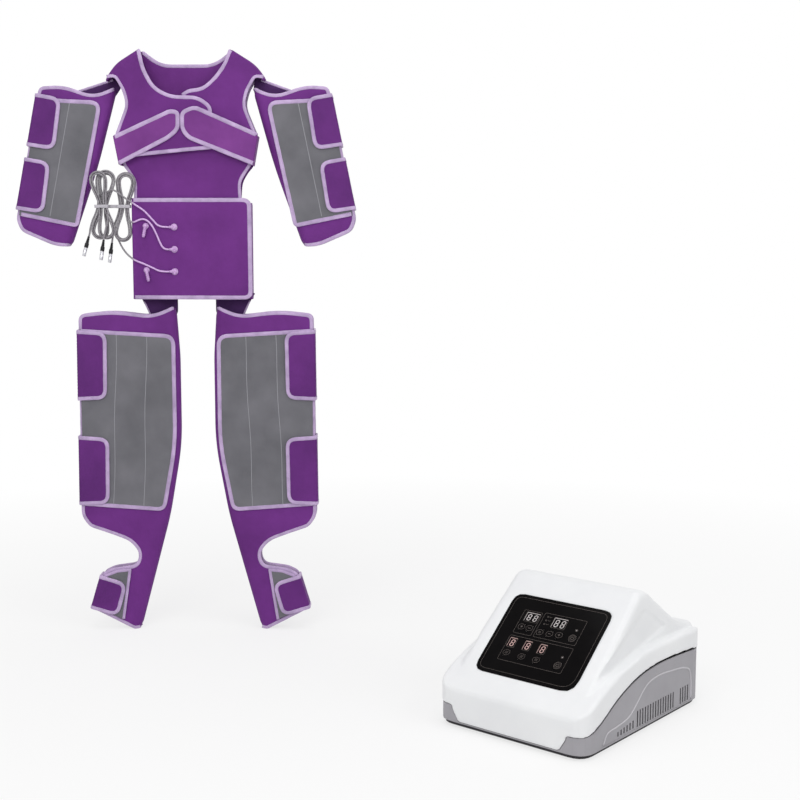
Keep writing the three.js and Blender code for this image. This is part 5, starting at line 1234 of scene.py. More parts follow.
# Corners of a right sleeve and of its panel, and where its bound edges end
SLEEVE = [
    (SLEEVE_TOP_INNER - 4, SLEEVE_TOP + 16, 12),
    (sleeve_inner_at(SLEEVE_TOP) + 58, SLEEVE_TOP - 8, 30),
    (SLEEVE_TOP_OUTER - 66, SLEEVE_TOP + 20, 30),
    (sleeve_outer_at(SLEEVE_TOP + 16), SLEEVE_TOP + 16, 14),
    (SLEEVE_CUFF_OUTER, SLEEVE_CUFF_OUTER_Z, 12),
    (SLEEVE_CUFF_OUTER - 12, SLEEVE_CUFF_OUTER_Z - 32, 14),
    (SLEEVE_CUFF_INNER + 44, SLEEVE_CUFF_INNER_Z + 4, 20),
    (SLEEVE_CUFF_INNER, SLEEVE_CUFF_INNER_Z, 12),
    (sleeve_inner_at(SLEEVE_TOP - 190) - 8, SLEEVE_TOP - 190, 60)]
SLEEVE_FOLD = [
    (SLEEVE_TOP_INNER - 4, SLEEVE_TOP + 16),
    (sleeve_inner_at(SLEEVE_TOP - 190) - 8, SLEEVE_TOP - 190),
    (SLEEVE_CUFF_INNER, SLEEVE_CUFF_INNER_Z)]
SLEEVE_LOOP = [
    (sleeve_loop_inner_at(SLEEVE_TOP - 22) + 4, SLEEVE_TOP - 22, 32),
    (sleeve_outer_at(SLEEVE_TOP - 22) - 6, SLEEVE_TOP - 14, 2),
    (sleeve_outer_at(SLEEVE_CUFF_OUTER_Z + 10) - 6, SLEEVE_CUFF_OUTER_Z + 10, 4),
    (sleeve_loop_inner_at(SLEEVE_CUFF_OUTER_Z - 20) - 30, SLEEVE_CUFF_OUTER_Z - 22, 14),
    (sleeve_loop_inner_at(SLEEVE_TOP - 110) - 6, SLEEVE_TOP - 110, 40)]
SLEEVE_LOOP_ENDS = [
    (sleeve_outer_at(SLEEVE_TOP - 14) - 8, SLEEVE_TOP - 14),
    (sleeve_outer_at(SLEEVE_CUFF_OUTER_Z + 10) - 10, SLEEVE_CUFF_OUTER_Z + 9)]


def build_sleeve(side, label, cloths, tape, seams):
    """A folded sleeve with its loop panel and two hook tabs."""
    loop = build_limb("sleeve", side, label, SLEEVES_X, SLEEVE, SLEEVE_FOLD, SLEEVE_LOOP,
                      SLEEVE_LOOP_ENDS, cloths, tape, 101)
    z = np.linspace(SLEEVE_CUFF_OUTER_Z + 8, SLEEVE_TOP - 24, 70)
    x = sleeve_outer_at(z) - SLEEVE_TAB_REACH - 26
    seams.seam(loop, np.column_stack([SLEEVES_X + side * x, z]))

    edge_low, edge_high = (SLEEVE_CUFF_OUTER, SLEEVE_CUFF_OUTER_Z), (SLEEVE_TOP_OUTER, SLEEVE_TOP)
    upper = SLEEVE_TOP - 4
    lower = upper - SLEEVE_TAB_LENGTH - SLEEVE_TAB_SPACE
    for name, top in (("upper", upper), ("lower", lower)):
        bottom = top - SLEEVE_TAB_LENGTH
        corners = [
            (sleeve_outer_at(top) + 20, top + 4, 2),
            (sleeve_outer_at(top) - SLEEVE_TAB_REACH, top - 10, TAB_CORNER),
            (sleeve_outer_at(bottom) - SLEEVE_TAB_REACH - 8, bottom - 5, TAB_CORNER),
            (sleeve_outer_at(bottom) + 20, bottom + 8, 2)]
        yield build_tab(f"sleeve_tab_{name}_{label}", side, SLEEVES_X, edge_low, edge_high,
                        corners, cloths[3], 121 + side + bottom / 100)


def build_joining_bands(cloth, tape):
    """The bands that join each sleeve to its shoulder, and each leg to the waist."""
    for side, label in SIDES:
        s = side * (VEST_X - SLEEVES_X)
        rise = LEG_INNER + LEG_RISE_WIDTH
        sleeve = mirrored(side, SLEEVES_X, [
            (SLEEVE_TOP_INNER + 24, SLEEVE_TOP - 30, 4), (SLEEVE_TOP_INNER + 4, SLEEVE_TOP - 6, 6),
            (ARMHOLE_IN + 18 + s, SHOULDER_LOW - 22, 6), (ARMHOLE_IN + 22 + s, SHOULDER_LOW + 6, 4),
            (SHOULDER_OUT - 9 + s, SHOULDER_LOW + 2, 4),
            (SLEEVE_TOP_OUTER - 92, SLEEVE_TOP + 6, 12),
            (SLEEVE_TOP_OUTER - 104, SLEEVE_TOP - 30, 6)])
        leg = mirrored(side, LEGS_X, [
            (LEG_INNER + 26, LEG_TOP - 54, 4), (LEG_INNER + 6, LEG_TOP + 2, 3),
            (LEG_INNER + 6, WRAP_BOTTOM + 16, 3), (rise + 22, WRAP_BOTTOM + 16, 3),
            (rise + 8, WRAP_BOTTOM - 6, 20), (rise - 10, LEG_TOP - 10, 12),
            (rise - 20, LEG_TOP - 54, 4)])
        for name, corners, width in (("sleeve", sleeve, 7), ("leg", leg, 5)):
            # The bands take the darker cloth: painted shade between the layers
            pad = FlatPad(rounded_outline(corners, 4), WALL + 0.6, WALL + 6.6, seed=131 + side)
            add_pad(f"{name}_join_{label}", pad, 6, cloth)
            tape.bind(pad, *(p[:2] for p in (corners[5], corners[4])[::side]), width)


STITCH_PITCH = 0.0046


def stitch_tree(name, thread):
    """Geometry Nodes: a thread stitch at even steps along every line of a mesh."""
    tree = bpy.data.node_groups.new(name, "GeometryNodeTree")

    def socket(label, kind, value=None, way="INPUT"):
        made = tree.interface.new_socket(label, in_out=way, socket_type="NodeSocket" + kind)
        if value is not None:
            made.default_value = value
        return made.identifier

    def node(kind, inputs=(), **fields):
        """A node with its fields set and its inputs linked to outputs or set to values."""
        made = tree.nodes.new(kind)
        for field, value in fields.items():
            setattr(made, field, value)
        for key, value in dict(inputs).items():
            if isinstance(value, bpy.types.NodeSocket):
                tree.links.new(value, made.inputs[key])
            else:
                made.inputs[key].default_value = value
        return made.outputs

    socket("Lines", "Geometry")
    pitch = socket("Pitch", "Float", 0.0042)
    socket("Stitch Length", "Float", 0.0028)
    socket("Thread Width", "Float", 0.0009)
    socket("Seed", "Int", 7)
    socket("Stitches", "Geometry", way="OUTPUT")
    given = node("NodeGroupInput")
    curve = node("GeometryNodeMeshToCurve", {"Mesh": given["Lines"]})
    even = node("GeometryNodeResampleCurve",
                {"Curve": curve["Curve"], "Length": given["Pitch"]}, mode="LENGTH")
    spots = node("GeometryNodeCurveToPoints", {"Curve": even["Curve"]}, mode="EVALUATED")
    ball = node("GeometryNodeMeshUVSphere", {"Segments": 6, "Rings": 4, "Radius": 0.5})
    size = node("ShaderNodeCombineXYZ", {
        "X": given["Thread Width"], "Y": given["Thread Width"], "Z": given["Stitch Length"]})
    laid = node("GeometryNodeInstanceOnPoints", {
        "Points": spots["Points"], "Instance": ball["Mesh"], "Rotation": spots["Rotation"],
        "Scale": size["Vector"]})
    tilt = node("FunctionNodeRandomValue", {
        0: (-0.12, -0.12, -0.12), 1: (0.12, 0.12, 0.12), "Seed": given["Seed"]},
        data_type="FLOAT_VECTOR")
    turn = node("GeometryNodeRotateInstances", {
        "Instances": laid["Instances"], "Rotation": tilt["Value"]})
    real = node("GeometryNodeRealizeInstances", {"Geometry": turn["Instances"]})
    dressed = node("GeometryNodeSetMaterial", {"Geometry": real["Geometry"], "Material": thread})
    node("NodeGroupOutput", {"Stitches": dressed["Geometry"]})
    return tree, pitch


def modified(holder):
    """The mesh of an object with its modifiers in force."""
    graph = bpy.context.evaluated_depsgraph_get()
    return bpy.data.meshes.new_from_object(holder.evaluated_get(graph))


def finished(holder, name, material):
    """A plain object in place of one with modifiers."""
    mesh = modified(holder)
    mesh.name = name
    mesh.materials.clear()
    mesh.materials.append(material)
    mesh.shade_smooth()
    bpy.data.objects.remove(holder)
    return linked(name, mesh)


def sew(name, lines, body, tree, pitch, thread):
    """Stitches along lines of pattern places, as one mesh on a body."""
    verts, edges = [], []
    for line in lines:
        base = len(verts)
        verts += [tuple(p) for p in to_scene(line)]
        edges += [(base + i, base + i + 1) for i in range(len(line) - 1)]
    mesh = bpy.data.meshes.new(name + "_lines")
    mesh.from_pydata(verts, edges, [])
    holder = linked(name + "_lines", mesh)
    modifier = holder.modifiers.new("nodes", "NODES")
    modifier.node_group = tree
    modifier[pitch] = STITCH_PITCH
    settle(finished(holder, name, thread), body, "purple_fabric")


def build_suit():
    """All the cloth of the suit, its tapes and its stitches."""
    purple = woven_cloth("purple_cloth", (98, 38, 118), (114, 48, 136))
    strap_cloth = woven_cloth("strap_cloth", (110, 50, 126), (130, 64, 146))
    tab_cloth = woven_cloth("tab_cloth", (88, 34, 108), (106, 44, 127))
    # Darker purple for the insides of the limbs and the joining bands seen between their layers:
    # painted shade
    shaded_inner_cloth = woven_cloth("inner_cloth_painted_shade", (62, 32, 82), (78, 42, 98), roughness=0.75, sheen=0.1)
    cloths = (purple, shaded_inner_cloth, loop_cloth_material(), tab_cloth)
    binding, thread = binding_tape(), sewing_thread()
    tree, pitch = stitch_tree("stitch_row", thread)
    grey_thread = sewing_thread("loop_seam", (128, 128, 134), (156, 155, 161))
    tape, seams = Tape(), Tape()
    taped = [*build_vest(purple, strap_cloth, tape), build_wrap(purple)]
    for side, label in SIDES:
        taped += build_leg(side, label, cloths, tape, seams)
        taped += build_sleeve(side, label, cloths, tape, seams)
    build_joining_bands(shaded_inner_cloth, tape)
    for edge_tape, name, body in [*taped, (tape, "suit", SUIT)]:
        edge_tape.piece(f"{name}_binding", binding, body)
        sew(f"{name}_stitches", edge_tape.lines, body, tree, pitch, thread)
    seams.piece("loop_seams", grey_thread, SUIT)


# Fittings of the suit: glands, nozzles, plugs and the tape that ties the cables
WRAP_FACE = WRAP_FRONT + GAP
NOZZLE_X, NOZZLE_TOP_Z, NOZZLE_PITCH = -117, 1114, 118
NOZZLE_RADIUS, NOZZLE_LEAN, NOZZLE_BARBS = 4.5, 0.2, 4
PLUG_RADIUS, PLUG_BOOT, PLUG_SHELL, PLUG_RIBS, PLUG_PINS = 5.5, 30, 24, 6, 4
TIE_THICKNESS, TIE_HEIGHT, TIE_Z, TIE_SIDES = 1.5, 10, 1166, 12
# Turned shapes of a gland, as (radius, height) pairs
GLAND_BOOT = [
    (0, 0), (8.6, 0), (9, 0.4), (9, 1.5), (8.7, 2), (7.6, 2.1), (7.4, 2.5), (7.4, 3.6), (6.9, 4.6),
    (5.6, 5.8), (4.2, 6.8), (3.0, 7.2), (2.6, 7.0), (1.4, 7.0), (0, 7.2)]
GLAND_SPOUT = [
    (0, 1), (4.1, 1), (4.0, 6), (4.2, 6.6), (4.2, 8), (3.8, 8.6), (3.7, 11.8), (3.4, 12.8),
    (2.8, 12.9), (0, 12.9)]


def turned(profile, place, sides=28):
    """Places and faces of a turned body, from (radius, height) pairs in millimetres."""
    verts, faces, rings = [], [], []
    for radius, height in profile:
        ring = [len(verts) + j for j in range(sides if radius > 0 else 1)]
        for c, s in list(angles(sides))[:len(ring)]:
            verts.append(place @ Vector((radius * c, radius * s, height)))
        rings.append(ring)
    for low, high in zip(rings, rings[1:]):
        for j in range(sides):
            k = (j + 1) % sides
            below = low[j % len(low)], low[k % len(low)]
            above = high[k % len(high)], high[j % len(high)]
            faces.append(tuple(dict.fromkeys(below + above)))
    return verts, faces


def joined(parts):
    """Places and faces of several bodies as one list of each."""
    verts, faces = [], []
    for part_verts, part_faces in parts:
        base = len(verts)
        verts += part_verts
        faces += [tuple(i + base for i in face) for face in part_faces]
    return verts, faces


def frame_at(origin, direction):
    """A frame in metres for lengths in millimetres, its Z axis along a direction."""
    turn = Vector(direction).to_track_quat("Z", "Y").to_matrix().to_4x4()
    return Matrix.Translation(origin) @ turn @ Matrix.Scale(0.001, 4)


def build_fittings(rubber):
    """Glands where the cables leave the wrap, and barbed air nozzles."""
    def fitting(name, node, *bodies):
        piece = mesh_piece(name, *joined(bodies), rubber)
        settle(piece, "waist_wrap_body", "lilac_rubber", node)

    def body(profile, x, above, z, aim, sides=28):
        return turned(profile, frame_at(suit_point(x, WRAP_FACE + above, z), aim), sides)

    outward = (0, -1, 0)
    for i in range(3):
        z = GLAND_TOP_Z - i * GLAND_PITCH
        fitting(f"gland_{i + 1}", f"cable_gland_{i + 1}",
                body(GLAND_BOOT, GLAND_X, 0, z, outward),
                body(GLAND_SPOUT, GLAND_X, 4.6, z, (-1, 0, 0), 20))
    r = NOZZLE_RADIUS
    base = [(0, 0), (7.6, 0), (8, 0.4), (8, 1.6), (7.6, 2.1), (r + 1.4, 2.6), (r + 1, 3.2),
            (r + 1, 8.4), (r + 0.4, 9.6), (r - 1, 10.8), (0, 10.9)]
    stem = [(0, 0.5), (r - 0.2, 0.5), (r - 0.4, 6)]
    for k in range(NOZZLE_BARBS):
        low = 7.5 + k * 5
        stem += [(r - 1, low), (r + 0.5, low + 0.7), (r + 0.4, low + 1.3), (r - 0.9, low + 4.2)]
    stem += [(r - 1.3, 30.2), (r - 1.8, 30.8), (2.2, 30.8), (1.9, 30.2), (1.8, 16), (0, 16)]
    for i, lean in enumerate((NOZZLE_LEAN, -NOZZLE_LEAN)):
        z = NOZZLE_TOP_Z - i * NOZZLE_PITCH
        aim = (-math.sin(lean), 0, -math.cos(lean))
        fitting(f"nozzle_{i + 1}", f"air_nozzle_{i + 1}",
                body(base, NOZZLE_X, 0, z, outward), body(stem, NOZZLE_X, 6.5, z, aim))


def build_plug(number, route, rubber, bright):
    """A cable's plug: a ribbed black boot and a bright shell with its pins."""
    end, before = route[-1], route[-2]
    direction = (end - before).normalized()
    place = frame_at(end + direction * GAP / 1000, direction)
    boot = [(0, 0), (2.9, 0), (3.2, 0.4)]
    for k in range(PLUG_RIBS):
        low, wide = 1.4 + 2.6 * k, 3.3 + 0.24 * k
        boot += [(wide, low), (wide, low + 1.2), (wide - 0.8, low + 1.5), (wide - 0.8, low + 2.3)]
    boot += [(5.0, 18), (5.4, 20), (5.5, 22), (5.5, 29), (5.2, 29.8), (0, 29.9)]
    r, length = PLUG_RADIUS - 0.7, PLUG_BOOT + PLUG_SHELL
    shell = [(0, 29.9), (r, 29.9), (r, 32), (r - 0.3, 32.2), (r - 0.3, 32.8), (r, 33), (r, 35),
             (r - 0.4, 35.3), (r - 0.4, 36.2), (r, 36.5), (r, length - 0.5), (r - 0.3, length),
             (r - 0.8, length), (r - 0.9, length - 0.3), (r - 0.9, length - 9), (0, length - 9)]
    bodies = [turned(boot, place), turned(shell, place)]
    dark_faces = len(bodies[0][1])
    for k in range(PLUG_PINS):
        angle = math.pi / 4 + k * math.pi / 2
        at = Matrix.Translation((2.1 * math.cos(angle), 2.1 * math.sin(angle), length - 9.2))
        pin = [(0, 0), (0.45, 0), (0.45, 6.6), (0.2, 7.2), (0, 7.3)]
        bodies.append(turned(pin, place @ at, 10))
    verts, faces = joined(bodies)
    picks = [0] * dark_faces + [1] * (len(faces) - dark_faces)
    plug = mesh_piece(f"plug_{number}", verts, faces, rubber, bright, picks=picks)
    return settle(plug, SUIT, "plug_metal", f"cable_plug_{number}")


def band(line, closed):
    """Places and faces of a soft tape standing on edge along points (x, depth) of the pattern."""
    line = np.array(line, float)
    verts = []
    for (x, depth), (along_x, along_depth) in zip(line, ways_along(line, closed)):
        sway = 0.5 * noise.noise(Vector((x / 7, depth / 7, 3)))
        narrow = 0.86 + 0.1 * noise.noise(Vector((x / 9, depth / 9, 8)))
        for c, s in angles(TIE_SIDES):
            out = squared(c, 0.6) * TIE_THICKNESS / 2
            up = squared(s, 0.5) * TIE_HEIGHT / 2 * narrow
            verts.append(suit_point(
                x - along_depth * out, depth + along_x * out, TIE_Z + sway + up))
    return verts, tube_faces(0, len(line), TIE_SIDES, closed)


def build_tie(tape_material):
    """The tape round each pair of hanks, sewn to the fold of the wrap."""
    reach_left = HANK_WAIST + CABLE_PITCH / 2 + CABLE / 2 + 2.8
    reach_right = HANK_WAIST + CABLE / 2 + 3
    half = TIE_THICKNESS / 2
    a, b, c = HANKS

    def near(hank):
        return min(hank["depth"], hank["depth"] + hank["layer_step"]) - CABLE / 2 - 0.7

    def far(hank):
        return max(hank["depth"], hank["depth"] + hank["layer_step"]) + CABLE / 2 + 1.5

    parts = []
    for hank, back, front in ((a, near(b), far(a)), (c, near(c), far(c))):
        left, right = hank["x"] - reach_left - half, hank["x"] + reach_right + half
        ring = rounded_outline([
            (left, back - half, 5), (right, back - half, 5), (right, front + half, 5),
            (left, front + half, 5)], 2.5)
        parts.append(band(ring, True))
    for start, end in (
            (a["x"] + reach_right + 0.5, c["x"] - reach_left - 0.5),
            (c["x"] + reach_right + 0.5, WRAP_LEFT - 3 * GAP)):
        x = np.linspace(start, end, 9)
        depth = WRAP_AXIS_DEPTH + 0.4 * np.sin(np.linspace(0, math.pi, 9))
        parts.append(band(np.column_stack([x, depth]), False))
    settle(closed_piece("tie_tape", *joined(parts), tape_material), SUIT, "tie_tape", "cable_tie")


# Console: its panel lies on the slope, x across, y up the slope, z outwards, in millimetres
SLOPE_ANGLE = math.radians(40)
PANEL_WIDTH, PANEL_LENGTH, PANEL_CORNER, GLASS_TOP = 260, 217, 24, 0.6
PANEL_CENTRE_Y, PANEL_CENTRE_Z = -121, 112 + 97 * math.tan(SLOPE_ANGLE)
KEY_TOP = 1.2
PANEL_FRAME = (
    CONSOLE_FRAME @ Matrix.Scale(0.001, 4) @ Matrix.Translation((0, PANEL_CENTRE_Y, PANEL_CENTRE_Z))
    @ Matrix.Rotation(SLOPE_ANGLE, 4, "X"))
INK, INK_SUNK = 0.12, 0.05
PRINT_SCALE = 1.083
DIGIT_WIDTH, DIGIT_LEAN, BAR_HALF = 7.2, 0.07, 0.95

CASE_SIDE, HOUSING_HALF_DEPTH, HOUSING_HEIGHT = 193, 258, 303
SLOT_START, SLOT_PITCH, SLOTS_TALL, SLOTS_REAR, SLOTS_SHORT = -38, 11.4, 15, 4, 6
SLOT_LOW, SLOT_HIGH, SLOT_HALF = 18, 55, 2.3
# Rib round the vent field, as shares of half the console's depth and of its height
VENT_RIB = [
    (-0.70, 0.062), (-0.64, 0.13), (-0.5, 0.144), (-0.3, 0.17), (-0.17, 0.24), (-0.06, 0.315),
    (0.03, 0.352), (0.2, 0.37), (0.42, 0.357), (0.66, 0.329), (0.76, 0.29), (0.79, 0.2),
    (0.793, 0.066),
]

# Windows with digits, as (left, right, low, high, digits), then the boxes round the groups, and
# the lamps and signs, all on a panel of 240 by 200
DISPLAYS = [
    (-69, -36, 36, 59, 2), (-1, 32, 34, 59.5, 2),
    (-75, -57, -32, -8.5, 1), (-37, -20, -32, -8.5, 1), (-0.7, 17, -32, -8.5, 1),
]
GROUPS = [(-77.5, -33.5, 4, 63), (-27.5, 73.5, 4, 65.5), (-79, 74.5, -65, -3.5)]
SMALL_LAMPS = [(60.5, 39.5), (60.3, -28)]
MODE_MARKS = [(-13.5, 57), (-13.5, 48), (-13.5, 38.5)]
KEY_MARKS = {
    "key_programme_up": (-64.5, 21, "plus"), "key_programme_down": (-45, 21, "minus"),
    "key_mode": (-17.5, 17, "bars"), "key_time_minus": (6, 18, "minus"),
    "key_time_plus": (28, 20, "plus"), "key_start_pressure": (60, 19.5, "start"),
    "key_heat_arms": (-66, -46, "wave"), "key_heat_belly": (-28, -47.5, "wave"),
    "key_heat_legs": (7.5, -47.5, "wave"), "key_start_heat": (59.5, -48.5, "start"),
}


class Prints:
    """Thin printed marks on the panel's frame, each a low closed slab."""

    def __init__(self, level, scale=PRINT_SCALE):
        self.verts, self.faces, self.scale = [], [], scale
        self.low, self.high = level - INK_SUNK, level + INK

    def spot(self, place, z):
        x, y = place
        self.verts.append(PANEL_FRAME @ Vector((x * self.scale, y * self.scale, z)))

    def patch(self, outline):
        """A filled mark with an anticlockwise outline."""
        base = len(self.verts)
        for z in (self.low, self.high):
            for place in outline:
                self.spot(place, z)
        self.faces += tube_faces(base, 2, len(outline))

    def line(self, points, width=0.5, closed=False):
        """A drawn line of even width."""
        points = np.array(points, float)
        base = len(self.verts)
        for place, side in zip(points, left_of(ways_along(points, closed)) * width / 2):
            self.spot(place + side, self.low)
            self.spot(place - side, self.low)
            self.spot(place - side, self.high)
            self.spot(place + side, self.high)
        self.faces += tube_faces(base, len(points), 4, closed)

    def ring(self, outline, width=0.5):
        self.line(outline, width, closed=True)

    def piece(self, name, material, body=SUIT):
        marks = mesh_piece(name, self.verts, self.faces, material, smooth=False)
        cleaned(marks.data)
        settle(marks, body, "white_plastic")


def ellipse(x, y, wide, high, count=40):
    angle = np.linspace(0, 2 * math.pi, count, endpoint=False)
    return np.column_stack([x + wide * np.cos(angle), y + high * np.sin(angle)])


def box_outline(left, right, low, high, corner=2.5):
    return rounded_outline([
        (left, low, corner), (right, low, corner), (right, high, corner), (left, high, corner)], 3)


def bar(start, end, half):
    """A bar with pointed ends, as in a seven segment digit."""
    start, end = np.array(start, float), np.array(end, float)
    along = (end - start) / np.hypot(*(end - start))
    side = np.array([-along[1], along[0]]) * half
    tip = along * half
    near, far = start + along * 0.35, end - along * 0.35
    return [near, near + tip - side, far - tip - side, far, far - tip + side, near + tip + side]


def digit(prints, left, low, width, height):
    """The seven bars of a digit, all of them seen, leaning a little."""
    levels = (low, low + height / 2, low + height)

    def corner(x, y):
        return (x + DIGIT_LEAN * (y - low), y)

    for y in levels:
        prints.patch(bar(corner(left, y), corner(left + width, y), BAR_HALF))
    for x in (left, left + width):
        for y, top in zip(levels, levels[1:]):
            prints.patch(bar(corner(x, y), corner(x, top), BAR_HALF))


def key_symbol(prints, x, y, kind):
    """A plain sign on a key."""
    if kind in ("plus", "minus"):
        prints.line([(x - 3, y), (x + 3, y)], 1.0)
    if kind == "plus":
        prints.line([(x, y - 3), (x, y - 0.55)], 1.0)
        prints.line([(x, y + 0.55), (x, y + 3)], 1.0)
    if kind == "bars":
        for k in (-1, 0, 1):
            half = 3.2 - abs(k)
            prints.line([(x - half, y + 2 * k), (x + half, y + 2 * k)], 0.6)
    if kind == "wave":
        t = np.linspace(-1, 1, 14)
        for k in (-1, 0, 1):
            across = x + 2.3 * k + 0.7 * np.sin(math.pi * t)
            prints.line(np.column_stack([across, y + 3 * t]), 0.55)
    if kind == "start":
        angle = np.linspace(math.radians(125), math.radians(415), 26)
        prints.line(np.column_stack([x + 3.4 * np.cos(angle), y + 3.4 * np.sin(angle)]), 0.8)
        prints.line([(x, y + 1), (x, y + 4.4)], 0.8)


def build_panel_prints(bright, faint, tinted):
    """Digits, windows, boxes and lamps on the glass, and the rings and signs on the keys."""
    glass_bright, glass_faint, glass_tint = (Prints(GLASS_TOP) for _ in range(3))
    for left, right, low, high, count in DISPLAYS:
        glass_faint.ring(box_outline(left, right, low, high, 0.8))
        inks = glass_bright if count == 2 else glass_tint
        inks.line([(left + 0.8, high - 1.1), (right - 0.8, high - 1.1)], 1.1)
        inks.line([(left + 1.1, low + 1.5), (left + 1.1, high - 1.6)], 0.7)
        step = (right - left - 3) / count
        for k in range(count):
            start = left + 2.4 + step * k + (step - DIGIT_WIDTH) / 2
            digit(inks, start, low + 3.6, DIGIT_WIDTH, high - low - 9)
    for group in GROUPS:
        glass_faint.ring(box_outline(*group), 0.45)
    for x, y in SMALL_LAMPS:
        glass_faint.ring(ellipse(x, y, 2.6, 2.6, 24), 0.6)
        glass_bright.patch(ellipse(x, y, 1.0, 1.0, 16))
    t = np.linspace(0, 1, 7)
    for x, y in MODE_MARKS:
        glass_faint.ring(ellipse(x - 4, y, 1.6, 1.6, 20))
        glass_faint.patch(ellipse(x - 4, y, 0.6, 0.6, 12))
        for k in range(3):
            across = x - 0.5 + 2.4 * k + 1.6 * t
            glass_faint.line(np.column_stack([across, y + 0.9 * np.sin(math.pi * t) * (-1) ** k]))
    edge = 9
    x, y, r = PANEL_WIDTH / 2 - edge, PANEL_LENGTH / 2 - edge, PANEL_CORNER - edge + 2
    inset = Prints(GLASS_TOP, 1)
    inset.ring(rounded_outline([(-x, -y, r), (x, -y, r * 1.8), (x, y, r), (-x, y, r)], 4))
    glass_bright.piece("panel_marks_bright", bright)
    glass_tint.piece("panel_marks_heat", tinted)
    glass_faint.piece("panel_marks_faint", faint)
    inset.piece("panel_inset_line", faint)
    for name, (x, y, kind) in KEY_MARKS.items():
        key = Prints(KEY_TOP)
        if kind == "start":
            key.ring(ellipse(x, y, 8.1, 8.1), 0.55)
            key.ring(ellipse(x, y, 6.2, 6.2), 0.4)
        else:
            key.ring(ellipse(x, y, 7.9, 6.6))
        key_symbol(key, x, y, kind)
        key.piece(f"{name}_mark", faint, f"{name}_body")


# The cover's remeshing, in metres: its even grid, and where easing starts and is full
COVER_VOXEL, COVER_KEPT_SHARE = 0.0022, 0.46
CRISP_WITHIN, EASED_OVER, SEARCH_REACH, EASING_ROUNDS = 0.006, 0.01, 0.02, 9


def merged_copy(node):
    """A copy of a solid's mesh in the console's own frame, its loose triangles merged."""
    mesh = bpy.data.objects[node].data.copy()
    mesh.transform(CONSOLE_FRAME.inverted())
    cleaned(mesh, 1e-5, outward=False)
    return mesh


def build_cover(white):
    """The white cover, its edges eased as a moulding's, crisp only where it meets other parts."""
    holder = linked("cover_form", merged_copy("upper_cover"))
    remesh = holder.modifiers.new("even", "REMESH")
    remesh.mode = "VOXEL"
    remesh.voxel_size = COVER_VOXEL
    mesh = modified(holder)
    meeting = []
    for node in ("lower_case", "panel_glass"):
        near = merged_copy(node)
        meeting.append(([v.co for v in near.vertices], [tuple(p.vertices) for p in near.polygons]))
        bpy.data.meshes.remove(near)
    tree = BVHTree.FromPolygons(*joined(meeting))
    count = len(mesh.vertices)
    places = np.empty(count * 3)
    mesh.vertices.foreach_get("co", places)
    places = places.reshape(-1, 3)
    away = np.full(count, SEARCH_REACH)
    for i, place in enumerate(places):
        hit = tree.find_nearest(place, SEARCH_REACH)
        if hit[3] is not None:
            away[i] = hit[3]
    weight = eased_in((away - CRISP_WITHIN) / EASED_OVER)
    edges = np.empty(len(mesh.edges) * 2, int)
    mesh.edges.foreach_get("vertices", edges)
    one, other = edges.reshape(-1, 2).T
    valence = np.bincount(one, minlength=count) + np.bincount(other, minlength=count)
    for _ in range(EASING_ROUNDS):
        total = np.column_stack([
            np.bincount(one, places[other, k], count) + np.bincount(other, places[one, k], count)
            for k in range(3)])
        places += (total / valence[:, None] - places) * (0.5 * weight[:, None])
    mesh.vertices.foreach_set("co", places.ravel())
    holder.modifiers.remove(remesh)
    holder.data = mesh
    fewer = holder.modifiers.new("fewer", "DECIMATE")
    fewer.ratio = COVER_KEPT_SHARE
    cover = finished(holder, "cover_moulding", white)
    cover.data.transform(CONSOLE_FRAME)
    settle(cover, SUIT, "white_plastic", "upper_cover")


def side_line(side, points, out):
    """Places on a side of the case from (y, z) in millimetres, in the scene."""
    return [CONSOLE_FRAME @ Vector((side * out / 1000, y / 1000, z / 1000)) for y, z in points]


def slab(side, outline, low, high):
    """A closed slab inside a side of the case, from an outline (y, z), between two depths."""
    verts = side_line(side, outline, low) + side_line(side, outline, high)
    return verts, tube_faces(0, 2, len(outline))


def build_case_details(black):
    """The raised rib round each vent field, in a lighter plastic that is a painted highlight, and
    dark slabs behind and inside its slots that are painted shade.
    """
    rib, slot_shade = [], []
    rear = SLOT_START + (SLOTS_TALL + 2) * SLOT_PITCH
    slots = [(SLOT_START + i * SLOT_PITCH, SLOT_LOW, SLOT_HIGH) for i in range(SLOTS_TALL)]
    slots += [(rear + i * SLOT_PITCH, SLOT_LOW, SLOT_HIGH) for i in range(SLOTS_REAR)]
    slots += [(SLOT_START - (i + 1.5) * SLOT_PITCH * 1.1, 20, 38 - 1.5 * i)
              for i in range(SLOTS_SHORT)]
    line = [(y * HOUSING_HALF_DEPTH, z * HOUSING_HEIGHT) for y, z in VENT_RIB]
    # Dark slab behind the vent slots and dark strips inside each slot: painted shade
    shade_backing = rounded_outline([
        (-132, 15, 5), (216, 15, 5), (216, 58, 5), (-20, 58, 8), (-132, 42, 5)], 8)
    for side in (-1, 1):
        path = smooth_path(side_line(side, line, CASE_SIDE - 1.2), 0.004)
        rib.append(sweep(path, 0.0024))
        slot_shade.append(slab(side, shade_backing, CASE_SIDE - 5.6, CASE_SIDE - 4.2))
        for y, low, high in slots:
            strip = box_outline(y - SLOT_HALF, y + SLOT_HALF, low + 0.2, high - 0.2, 0.8)
            slot_shade.append(slab(side, strip, CASE_SIDE - 4.3, CASE_SIDE - 1.7))
    # The rib's plastic is lighter than the case's: a painted highlight along the raised rib
    rib_painted_highlight = moulded_plastic("rib_plastic_painted_highlight", (180, 178, 183), (196, 194, 199), 0.42, 1100)
    for name, parts, material, slot in (
            ("case_ribs", rib, rib_painted_highlight, "grey_plastic"),
            ("slot_louvres", slot_shade, black, "black_plastic")):
        settle(closed_piece(name, *joined(parts), material), SUIT, slot)


def dress(material, *solids):
    """Gives carried-over solids their material."""
    for solid in solids:
        for slot in bpy.data.objects[solid].material_slots:
            slot.material = material


